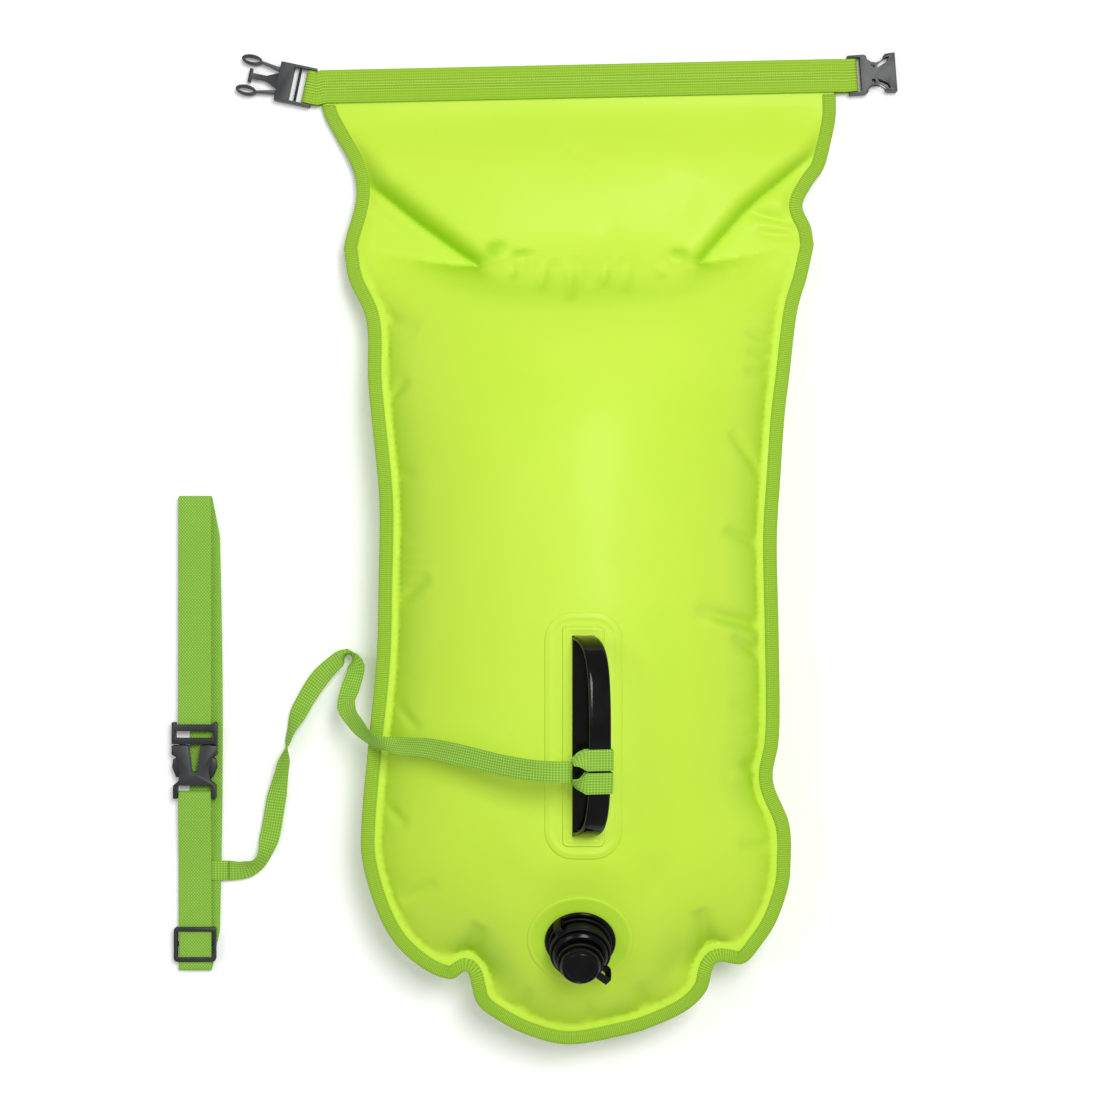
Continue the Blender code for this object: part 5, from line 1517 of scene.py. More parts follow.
        def ease(out: Array, share: Array, rounds: int) -> Array:
            """Draws each height towards its neighbours' mean.

            Args:
                out: The heights.
                share: How strongly each point is drawn.
                rounds: How often.

            Returns:
                The eased heights.
            """
            for _ in range(rounds):
                total = np.bincount(starts, out[ends], count) + np.bincount(ends, out[starts], count)
                out = out + (total / near - out) * share * 0.9
            return out

        near_rounds, wider_rounds = self.ease_rounds
        return ease(np.maximum(heights, ease(heights, near_weld, near_rounds)), wider, wider_rounds)

    def rim_distance(self, points: Array) -> Array:
        """Gives each point's distance inside the tape's inner edge."""
        tree = finder(self.plan.points)
        return np.array([tree.find((*p, 0.0))[2] for p in points]) - self.plan.tape_width

    def seat(self, points: Array, heights: Array, bow: float) -> Array:
        """Brings the front to the level of what is welded on it.

        Args:
            points: The plan's points.
            heights: The front's heights.
            bow: The radius that the handle's patches are bowed to.

        Returns:
            The heights, held under the handle and the valve.
        """
        off = points - np.array(self.handle_middle)
        out = np.maximum(np.abs(off) - np.array(self.handle_half), 0.0)
        level = self.handle_level - off[:, 0] ** 2 / (2 * bow)
        hold = 1 - smoothstep(np.linalg.norm(out, axis=1) / self.handle_fade)
        heights = heights + (level - heights) * hold
        normal, place = np.array(self.valve_axis), np.array(self.valve_place)
        place = place - normal * (self.film * 1.5 + self.plan.gap)
        off = points - place[:2]
        level = place[2] - off @ normal[:2] / normal[2]
        hold = 1 - smoothstep((np.linalg.norm(off, axis=1) - self.valve_flat) / self.valve_fade)
        return heights + (level - heights) * hold

    def wall(self, name: str, layout: Layout, heights: Array, low: float, high: float, finish: Finish,
             front: bool = False) -> Piece:
        """Makes a closed wall between two offsets of a surface, and keeps its upper side for what lies on it.

        Args:
            name: The piece's name.
            layout: The float's layout.
            heights: The surface's heights.
            low: The lower offset along the normals.
            high: The upper offset.
            finish: The wall's material.
            front: Whether it is the front, which the valve's barrel goes through and the mouth's folds are in.

        Returns:
            The wall.
        """
        points, triangles = layout.points, layout.triangles
        middle = np.column_stack((points, heights))
        a, b, c = corners_of(middle, triangles)
        facing = np.cross(b - a, c - a)
        count = len(middle)
        normals = np.zeros_like(middle)
        for k in range(3):
            for axis in range(3):
                normals[:, axis] += np.bincount(triangles[:, k], facing[:, axis], count)
        normals /= np.linalg.norm(normals, axis=1)[:, None]
        top, bottom = middle + normals * high, middle + normals * low
        if low < 0 and high < 0:
            bottom[:, 2] = np.maximum(bottom[:, 2], 0.0)
        # Painted shade: steep faces get up to 0.6 of the darker colour, and the front also gets painted shade beside
        # its folds and weld bumps.
        tucked_and_painted_shade = np.clip((0.72 - np.abs(normals[:, 2])) / 0.5, 0.0, 0.6)
        self.tops[name] = BVHTree.FromPolygons([tuple(v) for v in top], [tuple(t) for t in triangles])
        if front:
            tucked_and_painted_shade = np.maximum(tucked_and_painted_shade, self.painted_shade_marks(points))
            off = points[triangles].mean(axis=1) - np.array(self.valve_place[:2])
            triangles = triangles[np.linalg.norm(off, axis=1) > self.valve_hole]
        directed = np.concatenate([triangles[:, pair] for pair in ([0, 1], [1, 2], [2, 0])])
        _, index, uses = np.unique(np.sort(directed, axis=1), axis=0, return_index=True, return_counts=True)
        faces = [tuple(t) for t in triangles] + [(t[2] + count, t[1] + count, t[0] + count) for t in triangles]
        faces += [(b, a, a + count, b + count) for a, b in directed[index[uses == 1]]]
        made = new_piece(name, np.concatenate((top, bottom)), faces, finish)
        made.data.attributes.new("tucked_and_painted_shade", "FLOAT", "POINT").data.foreach_set("value", np.tile(tucked_and_painted_shade, 2))
        return made

    def build(self) -> None:
        """Builds the skins and the tape."""
        film, finishes = self.film, self.finishes
        inner, outer = film / 2 + self.plan.gap, film / 2 + self.plan.gap + film
        layout = self.layout()
        heights = self.heights(layout)
        back = heights[Side.BACK]
        for piece, nodes, slot in (
                (self.wall("float_front", layout, heights[Side.FRONT], inner, outer, finishes.skin, True),
                 ("front_skin", "mouth_hem_front"), "coated_skin"),
                (self.wall("float_back", layout, back, -outer, -inner, finishes.skin),
                 ("back_skin", "mouth_hem_back"), "coated_skin"),
                (self.wall("chamber_lining", layout, back, -film / 2, film / 2, finishes.liner),
                 ("chamber_liner",), "liner_skin")):
            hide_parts(*nodes)
            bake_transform(piece)
            LOG.info("%s: %d triangles", piece.name, len(piece.data.polygons))
        self.build_tape()

    def build_tape(self) -> None:
        """Folds the tape over the edge and sews it down."""
        plan = self.plan
        inner = self.film / 2 + plan.gap + self.film + 0.0006
        outer = inner + plan.tape
        width, soft = plan.tape_width, plan.tape / 2
        seen = [(-width, (inner + outer) / 2), (-width + soft, outer), (-width * 0.62, outer), (-width * 0.3, outer),
                (-soft * 2, outer), (-soft * 0.6, outer * 0.72), (0.0, outer * 0.25)]
        section = seen + [(0.0, -outer * 0.25), (-soft * 0.6, -outer * 0.72), (-soft * 2, -outer),
                          (-width * 0.5, -outer), (-width + soft, -outer), (-width, -(inner + outer) / 2),
                          (-width, -inner), (-plan.tape, -inner), (-plan.tape, inner), (-width, inner)]
        rim_at, last = plan.tape + plan.gap, len(plan.points) - 1

        def edge_level(i: int, inset: float) -> float:
            """Gives the height of the float's edge at one of its points, at a distance in from the tape's edge."""
            share = (inset - rim_at) / (plan.margin - rim_at)
            return mixed(*(plan.seam_height(plan.inset(i, at).y) for at in (rim_at, plan.margin)), share)

        rings, line, lengths = [], [], [0.0]
        for i in range(last + 1):
            ring = []
            for out, up in section:
                place, level = plan.inset(i, -out), edge_level(i, -out)
                if i in (0, last):
                    place.y = plan.fold_line(place.x)
                    level = plan.seam_height(place.y)
                ring.append((place.x, place.y, level + up))
            rings.append(ring)
            place, level = plan.inset(i, width * 0.76), edge_level(i, width * 0.76)
            line.append(Vector((place.x, min(place.y, plan.fold_line(place.x) - 0.001), level + outer)))
            if i:
                lengths.append(lengths[-1] + (plan.points[i] - plan.points[i - 1]).length)
        tape = tube("sewn_edge_tape", rings, lengths, section, self.finishes.tape)
        stands_for(tape, ("edge_tape",), "bag")
        sew("edge_tape_stitches", [line], Thread(0.0031, 0.0021, 0.00052), self.finishes.stitch, "bag")


def draped(name: str, place: Matrix, loops: Sequence[tuple[Sequence[Vector], float]], closed: bool,
           under: BVHTree, finish: Finish) -> Piece:
    """Lays a thin formed sheet on the skin.

    Args:
        name: The piece's name.
        place: The frame of the sheet's plan.
        loops: Outlines in the plan, all with as many points, each with its height above the skin.
        closed: Whether the last outline joins the first, as round a hole, and not a flat end.
        under: The skin's upper side.
        finish: Its material.

    Returns:
        The sheet.
    """
    bm = bmesh.new()
    down = -(place.to_3x3() @ Vector((0, 0, 1)))
    rings = []
    for outline, lift in loops:
        hits = (under.ray_cast(place @ Vector((*point, 0.25)), down)[0] for point in outline)
        rings.append([bm.verts.new(hit - down * lift) for hit in hits])
    if closed:
        rings.append(rings[0])
    for low, high in zip(rings, rings[1:]):
        for i in range(len(low)):
            bm.faces.new((low[i - 1], low[i], high[i], high[i - 1]))
    if not closed:
        bm.faces.new(rings[0])
        bm.faces.new(rings[-1])
    bmesh.ops.recalc_face_normals(bm, faces=bm.faces)
    return finished(name, bm, finish)


# The mouth


@dataclass
class Mouth:
    """The bands, the stiffener and the two buckle halves that roll up and close the dry bag."""

    plan: Plan
    finishes: Finishes
    left: float = -0.190946
    right: float = 0.197028
    middle: float = 0.014
    width: float = 0.025
    band: float = 0.0012
    band_level: float = 0.0034
    tail_level: float = -0.0036
    back_level: float = -0.0021
    plug_bar: float = -0.201
    socket_bar: float = 0.211
    plug_turn: float = math.radians(13)
    socket_turn: float = math.radians(3)
    lead_in: float = 0.006
    tail: float = 0.018
    box_length: float = 0.015
    box_half_width: float = 0.01
    box_inset: float = 0.0022
    row_half_gap: float = 0.0017
    row_inset: float = 0.001
    turn_in: float = 0.0008

    @property
    def place(self) -> Matrix:
        """The mouth's frame: X along the fold line, Y out of the bag."""
        return Matrix.Translation((0, self.plan.fold_above, self.plan.mouth_height)) \
            @ Matrix.Rotation(math.atan(self.plan.mouth_turn), 4, "Z")

    def turn_round(self, bar: float, turn: float, upward: bool) -> tuple[list[Vector], list[Vector]]:
        """Takes the front band round a buckle's bar.

        Args:
            bar: The bar's place along the mouth.
            turn: The angle that the buckle hangs at.
            upward: Whether the band comes from below.

        Returns:
            The middle line of the turn and the direction of the band's width along it.
        """
        radius, axis = (self.band_level - self.tail_level) / 2, (self.band_level + self.tail_level) / 2
        side = -1 if bar < 0 else 1
        out = Vector((side * math.cos(turn), side * math.sin(turn), 0))
        across = Vector((-out.y, out.x, 0)) * side
        levels = (self.tail_level, self.band_level) if upward else (self.band_level, self.tail_level)
        lead = Vector((bar, self.middle, 0)) - out * self.lead_in
        line = [lead + Vector((0, 0, levels[0]))]
        for step in range(13):
            angle = math.pi * (step / 12 - 0.5) * (1 if upward else -1)
            line.append(Vector((bar, self.middle, axis)) + out * radius * math.cos(angle)
                        + Vector((0, 0, radius * math.sin(angle))))
        line.append(lead + Vector((0, 0, levels[1])))
        return line, [across] * len(line)

    def build(self) -> None:
        """Builds the bands, their sewing and the buckle halves."""
        place, flat = self.place, Vector((0, 1, 0))
        left, right = self.left + self.turn_in, self.right - self.turn_in

        def straight(start: float, end: float, level: float) -> tuple[list[Vector], list[Vector]]:
            """Draws a straight run of the band."""
            return [Vector((x, self.middle, level)) for x in (start, end)], [flat, flat]

        line, across = [], []
        for points, sides in (straight(self.left + self.tail, left, self.tail_level),
                              self.turn_round(self.plug_bar, -self.plug_turn, True),
                              straight(left, right, self.band_level),
                              self.turn_round(self.socket_bar, self.socket_turn, False),
                              straight(right, self.right - self.tail, self.tail_level)):
            line, across = line + points, across + sides
        turn, back = place.to_3x3(), [Vector((mixed(self.left, self.right, k / 80), self.middle, self.back_level))
                                      for k in range(81)]
        for face, (line, across) in (("front", finer(line, across, 0.004)), ("back", (back, [flat] * 81))):
            band = strap(f"{face}_mouth_band", [place @ p for p in line], [turn @ a for a in across], self.width,
                         self.band, self.finishes.band, 12)
            stands_for(band, (f"mouth_band_{face}",), "mouth")
        level = self.band_level + self.band / 2
        half = self.box_half_width
        boxes = []
        for start in (self.left + self.box_inset, self.right - self.box_inset - self.box_length):
            end = start + self.box_length
            corners = [(start, -half), (end, -half), (end, half), (start, half), (start, -half)]
            boxes.append([Vector((x, self.middle + y, level)) for x, y in corners])
        boxes = [[place @ p for p in finer(box, box, 0.002)[0]] for box in boxes]
        rows = [[place @ Vector((x, self.middle + y, level))
                 for x in (self.left + self.tail + self.row_inset, self.right - self.tail - self.row_inset)]
                for y in (-self.row_half_gap, self.row_half_gap)]
        sew("mouth_band_stitches", boxes + rows, Thread(0.0027, 0.0019, 0.00055), self.finishes.stitch, "mouth")
        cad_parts["mouth_stiffener"].data.materials[0] = self.finishes.strip
        for node, name, body in (("closure_plug", "plug_with_tongue", "plug"),
                                 ("closure_arm_upper", "plug_arm_with_eye_upper", "plug_arm_upper"),
                                 ("closure_arm_lower", "plug_arm_with_eye_lower", "plug_arm_lower"),
                                 ("closure_socket", "socket_shell", "socket")):
            stands_for(rounded_copy(node, name, 0.00055, self.finishes.buckle), (node,), body)


# The handle


@dataclass
class Handle:
    """The carrying handle: two welded patches, a base strap, the arched grip and the leash's hitch round it."""

    finishes: Finishes
    skin: BVHTree
    across: float = 0.005
    along: float = -0.064
    length: float = 0.142
    height: float = 0.038
    lean: float = 0.011
    width: float = 0.016
    thick: float = 0.0032
    base_low: float = 0.1436
    base_thick: float = 0.0018
    pivot_height: float = 0.145716
    patch_half: Pair = (0.0275, 0.0875)
    patch_corner: float = 0.02
    cover_half: Pair = (0.015, 0.0785)
    cover_corner: float = 0.004
    sheet: float = 0.0008
    gap: float = 0.0003
    step: float = 0.003
    wrap_width: float = 0.015
    wrap_thick: float = 0.0012
    wrap_spread: float = 0.008
    hitch_along: float = -0.086
    hitch_neck: float = 0.012
    wrap_clear: float = 0.00285
    wrap_gather: float = 0.0022
    wrap_pinch: float = 0.55
    grip_shares: tuple = ((1.000, 0.00), (0.99, 0.16), (0.965, 0.36), (0.92, 0.55), (0.85, 0.71), (0.74, 0.84),
                          (0.58, 0.93), (0.38, 0.98), (0.18, 0.998), (0.000, 1.00))

    def patch(self, name: str, node: str, half: Pair, corner: float, low: float,
              rings: Pairs) -> None:
        """Welds a patch on the skin.

        Args:
            name: The piece's name.
            node: The solid that it stands for.
            half: Half its width and length.
            corner: The radius of its corners.
            low: How far its underside is above the skin.
            rings: Distances in from its edge, each with the height of its top above the plain sheet there.
        """
        counts = (max(2, round(2 * half[0] / self.step)), max(2, round(2 * half[1] / self.step)))

        def outline(inset: float) -> list[Vector]:
            """Draws the patch's outline, moved in."""
            return rounded_box_outline(half[0] - inset, half[1] - inset, corner - inset, counts)

        middle = half[0] - 0.0008
        under = [(outline(d), low) for d in (middle, middle * 0.66, middle * 0.33, 0.0004)]
        edge = [(outline(0.0), low + self.sheet * 0.15), (outline(0.0), low + self.sheet * 0.65)]
        top = [(outline(d), low + self.sheet + lift) for d, lift in rings if d < middle]
        end = [(outline(middle), low + self.sheet)]
        place = Matrix.Translation((self.across, self.along, 0))
        piece = draped(name, place, under + edge + top + end, False, self.skin, self.finishes.patch)
        stands_for(piece, (node,), "bag")

    def grip_line(self) -> list[Vector]:
        """Draws the grip's middle line from its pivot: an arch that leans to the right as it rises.

        Returns:
            Its points, measured from the pivot.
        """
        shares = self.grip_shares + tuple((-y, z) for y, z in reversed(self.grip_shares[:-1]))
        rise, reach = self.height - self.thick / 2, (self.length - self.thick) / 2
        return smooth_line([(up * self.lean - self.width / 2, along * reach, up * rise) for along, up in shares], 90)

    def grip_across(self, point: Vector) -> Vector:
        """Gives the direction of the grip's width at a point of its line.

        Args:
            point: A point of the line.

        Returns:
            A unit vector.
        """
        rise = self.height - self.thick / 2
        tilt = math.atan2(self.lean, rise) * point.z / rise
        return Vector((math.cos(tilt), 0, -math.sin(tilt)))

    def build(self) -> None:
        """Builds the patches, straps and wraps."""
        sheet, gap = self.sheet, self.gap
        self.patch("handle_base_patch", "handle_patch", self.patch_half, self.patch_corner, gap,
                   ((0.0006, 0.0), (0.0022, 0.0), (0.003, 0.00035), (0.0042, 0.00035), (0.005, 0.0),
                    (0.008, 0.0), (0.011, 0.0), (0.015, 0.0), (0.02, 0.0), (0.025, 0.0)))
        self.patch("handle_cover_patch", "handle_cover", self.cover_half, self.cover_corner, 2 * gap + sheet,
                   ((0.0005, 0.00025), (0.0011, 0.0004), (0.0017, 0.0), (0.0023, -0.00015), (0.0029, 0.0003),
                    (0.0036, 0.0003), (0.0043, 0.0), (0.007, 0.0), (0.011, 0.0)))
        half = self.length / 2
        base = [Vector((self.across, self.along + mixed(-half, half, k / 40), self.base_low + self.base_thick / 2))
                for k in range(41)]
        piece = strap("handle_under_strap", base, [Vector((1, 0, 0))] * 41, self.width, self.base_thick,
                      self.finishes.gloss)
        stands_for(piece, ("handle_base_strap",), "bag")
        pivot = Vector((self.across + self.width / 2, self.along, self.pivot_height))
        line = self.grip_line()
        grip = strap("arched_grip", [pivot + p for p in line], [self.grip_across(p) for p in line], self.width,
                     self.thick, self.finishes.gloss, 8)
        for corner in grip.data.vertices:
            corner.co.z = max(corner.co.z, self.pivot_height)
        stands_for(grip, ("handle_grip",), "handle")
        self.build_wraps(pivot, line)

    def build_wraps(self, pivot: Vector, line: list[Vector]) -> None:
        """Builds the leash's two wraps round the grip.

        Args:
            pivot: The grip's lower right edge, in the middle of its length.
            line: The grip's middle line from there.
        """
        half, clear = self.width / 2, self.wrap_clear
        for end, side in (("front", 1), ("rear", -1)):
            wanted = self.hitch_along - pivot.y + side * self.wrap_spread
            at = min(range(1, len(line) - 1), key=lambda i: abs(line[i].y - wanted))
            right = self.grip_across(line[at])
            along = line[at + 1] - line[at - 1]
            along = (along - right * along.dot(right)).normalized()
            up = right.cross(along)
            if up.z < 0:
                along, up = -along, -up
            centre = line[at] + along * (wanted - line[at].y) / along.y
            off = half + self.hitch_neck / 5
            loop = [(-off, clear), (0, clear), (half, clear)]
            loop += [(half + clear * math.cos(angle) * 0.3, clear * math.sin(angle))
                     for angle in (math.pi * (0.5 - step / 9) for step in range(1, 9))]
            loop += [(half, -clear), (0, -clear), (-off, -clear)]
            centres = [centre + right * out + up * level for out, level in loop]
            sides = [along] * len(centres)
            for layer in (1, -1):
                for share in (0.35, 0.7, 1.0):
                    level = layer * mixed(clear, self.wrap_thick / 2 + self.gap, share)
                    neck = centre - right * (off + (self.hitch_neck - off + half) * share) + up * level
                    tucked_and_painted_shade = (along * (1 - share * 0.75) - up * side * share).normalized()
                    at = 0 if layer > 0 else len(centres)
                    centres.insert(at, neck - along * side * self.wrap_gather * share ** 2)
                    sides.insert(at, tucked_and_painted_shade * (1 - share * self.wrap_pinch))
            centres, sides = finer(centres, sides, 0.003)
            piece = strap(f"hitch_wrap_{end}", [pivot + p for p in centres], sides, self.wrap_width, self.wrap_thick,
                          self.finishes.leash)
            stands_for(piece, (f"leash_wrap_{end}",), "handle")


@dataclass
class Leash:
    """The webbing leash between the handle and the belt.

    Each row of its route gives a place and the direction of the webbing's width there.
    """

    finishes: Finishes
    width: float = 0.015
    thick: float = 0.0012
    steps: int = 150
    lies_still: Triple = (-0.115, -0.0745, 0.11)
    follows_grip: Triple = (-0.014, -0.086, 0.1885)
    route: tuple = (
        (-0.0044, -0.086, 0.1877, 0.00, 1.00, 0.00), (-0.015, -0.086, 0.1885, 0.00, 1.00, 0.00),
        (-0.033, -0.0853, 0.18, 0.05, 1.00, 0.00), (-0.056, -0.0825, 0.163, 0.1, 1.00, -0.05),
        (-0.084, -0.0775, 0.14, 0.2, 0.97, -0.1), (-0.108, -0.0745, 0.116, 0.2, 0.9, -0.3),
        (-0.129, -0.0745, 0.095, 0.1, 0.75, -0.55), (-0.1475, -0.0715, 0.079, 0.1, 0.6, 0.75),
        (-0.1635, -0.0602, 0.054, 0.5, 0.6, 0.4), (-0.1711, -0.0483, 0.038, 0.9, 0.25, 0.2),
        (-0.1688, -0.0365, 0.029, 0.95, -0.1, 0.15), (-0.165, -0.0214, 0.021, 0.9, 0.00, 0.35),
        (-0.17, -0.011, 0.015, 0.3, -0.1, 0.95), (-0.1795, -0.016, 0.011, 0.55, -0.6, 0.5),
        (-0.1945, -0.031, 0.009, 0.75, -0.6, 0.25), (-0.2083, -0.0538, 0.0088, 0.8, -0.4, 0.45),
        (-0.2166, -0.0742, 0.0088, 0.35, -0.12, 0.93), (-0.2211, -0.0955, 0.0084, -0.55, 0.1, 0.8),
        (-0.2265, -0.1221, 0.0055, -0.93, 0.2, 0.3), (-0.2316, -0.15, 0.0046, -0.97, 0.22, 0.15),
        (-0.238, -0.1685, 0.0072, -0.4, 0.45, 0.8), (-0.25, -0.1752, 0.0056, -0.1, 0.9, 0.4),
        (-0.263, -0.176, 0.0044, 0.00, 1.00, 0.00))

    def widths_at(self, line: list[Vector]) -> list[Vector]:
        """Gives the direction of the webbing's width at each point of its line.

        Args:
            line: The webbing's line, in order.

        Returns:
            A direction for each point.
        """
        places = [Vector(row[:3]) for row in self.route]
        directions = [Vector(row[3:]) for row in self.route]
        found, at = [], 0
        for point in line:
            while at < len(places) - 2 and (point - places[at + 1]).length < (point - places[at]).length \
                    and (point - places[at + 1]).dot(places[at + 2] - places[at + 1]) > 0:
                at += 1
            span = places[at + 1] - places[at]
            found.append(mixed(directions[at], directions[at + 1],
                               smoothstep((point - places[at]).dot(span) / span.length_squared)))
        return found

    def build(self) -> None:
        line = smooth_line([row[:3] for row in self.route], self.steps)
        widths = self.widths_at(line)
        piece = strap("webbing_leash", line, widths, self.width, self.thick, self.finishes.leash, 8)
        for corner in piece.data.vertices:
            corner.co.z = max(corner.co.z, 0.0003)
        length = sum((b - a).length for a, b in zip(line, line[1:]))
        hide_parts("leash")
        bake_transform(piece)
        LOG.info("leash: %.3f m long", length)


# The valve


@dataclass
class Valve:
    """The screw valve: its welded patch, base, body with a one-way flap, cap and two soft tethers."""

    finishes: Finishes
    skin: BVHTree
    place: Matrix = field(default_factory=lambda: Matrix((
        (0.999974, 0.0, -0.007238, 0.003), (-0.00346, 0.878376, -0.477957, -0.213),
        (0.006358, 0.47797, 0.878353, 0.110921), (0.0, 0.0, 0.0, 1.0))))
    patch_radius: float = 0.038
    shaded_radius: float = 0.0352
    hole: float = 0.0156
    gap: float = 0.0003
    sheet: float = 0.0008
    rounding: float = 0.00045
    tether: float = 0.0018
    tether_width: float = 0.006
    tether_bulge: float = 0.005
    tether_gap: float = 0.00035
    cap_radius: float = 0.0145
    body_radius: float = 0.0198
    base_profile: tuple = ((0.013, -0.01), (0.015, -0.01), (0.015, 0.0018), (0.0256, 0.0015),
                           (0.0256, 0.0028), (0.0246, 0.0036), (0.0232, 0.0038), (0.0225, 0.0036), (0.0205, 0.0038),
                           (0.0205, 0.011), (0.0182, 0.011), (0.0182, 0.015), (0.013, 0.015))
    body_profile: tuple = ((0.01855, 0.01135), (0.0198, 0.01135), (0.0198, 0.0193), (0.0178, 0.0213),
                           (0.016, 0.0213), (0.0154, 0.0207), (0.0122, 0.0207), (0.0116, 0.0213), (0.0105, 0.0213),
                           (0.0105, 0.03), (0.007, 0.03), (0.007, 0.0168), (0.01855, 0.0168))
    cap_profile: tuple = ((0.01085, 0.02165), (0.0145, 0.02165), (0.0145, 0.0322), (0.0128, 0.0347),
                          (0.0119, 0.035), (0.0113, 0.0344), (0.0106, 0.0344), (0.0098, 0.035), (0.0, 0.035),
                          (0.0, 0.03035), (0.01085, 0.03035))

    def part(self, name: str, node: str, profile: Pairs, body: str) -> None:
        """Turns one of the valve's pieces."""
        piece = turned(name, rounded_profile(profile, self.rounding), self.place, self.finishes.valve)
        stands_for(piece, (node,), body)

    def build_patch(self) -> None:
        """Welds the valve's patch on the skin, darker in a ring round the valve."""
        low, high = self.gap, self.gap + self.sheet
        radii = [(self.hole, low), (0.026, low), (self.patch_radius - 0.0003, low),
                 (self.patch_radius, low + self.sheet * 0.2), (self.patch_radius, low + self.sheet * 0.7),
                 (self.patch_radius - 0.0005, high)]
        radii += [(r, high + lift) for r, lift in ((0.0366, 0.0001), (0.0356, 0.0001), (0.035, 0.0), (0.0335, 0.0),
                                                   (0.031, 0.0), (0.0285, 0.0001), (0.0265, 0.0), (self.hole, 0.0))]
        piece = draped("valve_skin_patch", self.place, [(circle(r, 96), lift) for r, lift in radii], True, self.skin,
                       self.finishes.patch)
        stands_for(piece, ("valve_patch",), "bag")
        piece.data.materials.append(self.finishes.shaded_patch)
        middle = self.place.translation
        for face in piece.data.polygons:
            if (face.center - middle).length < self.shaded_radius:
                face.material_index = 1

    def build_tether(self, name: str, node: str, rings: Pairs, angle: float,
                     body: str) -> None:
        """Moulds a soft tether: two rings and the strap that bulges out between them.

        Args:
            name: The piece's name.
            node: The solid that it stands for.
            rings: The radius of what each ring sits on, and its lower level.
            angle: Where the strap stands, round the valve.
            body: The body that it rides on.
        """
        pieces, outs, levels = [], [], []
        for k, (radius, low) in enumerate(rings):
            inner = radius + self.tether_gap
            outer = inner + self.tether
            profile = ((inner, low), (outer, low), (outer, low + self.tether), (inner, low + self.tether))
            pieces.append(turned(f"{name}_ring_{k}", rounded_profile(profile, self.tether * 0.4), self.place,
                                 self.finishes.rubber))
            outs.append(inner + self.tether / 2)
            levels.append(low + self.tether / 2)
        bulge = max(outs) + self.tether_bulge
        thick = self.tether
        line = smooth_line(((outs[0], 0, levels[0]), (bulge - thick, 0, levels[0]), (bulge, 0, levels[0] + thick),
                            (bulge, 0, levels[1] - thick / 2), (bulge - thick, 0, levels[1] + thick / 4),
                            (outs[1], 0, levels[1])), 28)
        turn = self.place @ Matrix.Rotation(angle, 4, "Z")
        side = turn.to_3x3() @ Vector((0, 1, 0))
        pieces.append(strap(f"{name}_strap", [turn @ p for p in line], [side] * len(line), self.tether_width,
                            thick * 0.8, self.finishes.rubber))
        stands_for(joined(name, pieces), (node,), body)

    def build(self) -> None:
        """Builds the whole valve."""
        self.build_patch()
        self.part("valve_flange_and_neck", "valve_base", self.base_profile, "bag")
        self.part("valve_screw_collar", "valve_body", self.body_profile, "valve_screw_body")
        self.part("valve_dust_cap", "valve_cap", self.cap_profile, "valve_screw_cap")
        for name, radius, level, count, height, body in (
                ("cap_grip_ribs", self.cap_radius, 0.0272, 44, 0.0088, "valve_screw_cap"),
                ("collar_grip_ribs", self.body_radius, 0.0153, 60, 0.007, "valve_screw_body")):
            ring = [Vector((*spoke, level)) for spoke in circle(radius - 0.00012, 240)]
            rib = Thread(math.tau * radius / count, 0.0011, 0.0008, height)
            sew(name, [ring + ring[:1]], rib, self.finishes.valve, body, self.place)
        self.build_tether("collar_tether", "body_tether", ((0.0205, 0.0041), (0.0198, 0.01525)),
                          math.radians(128), "bag")
        self.build_tether("dust_cap_tether", "cap_tether", ((0.0198, 0.01285), (0.0145, 0.025925)),
                          math.radians(-40), "bag")
        for node in ("valve_flap", "valve_seal"):
            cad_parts[node].data.materials[0] = self.finishes.rubber


# The belt


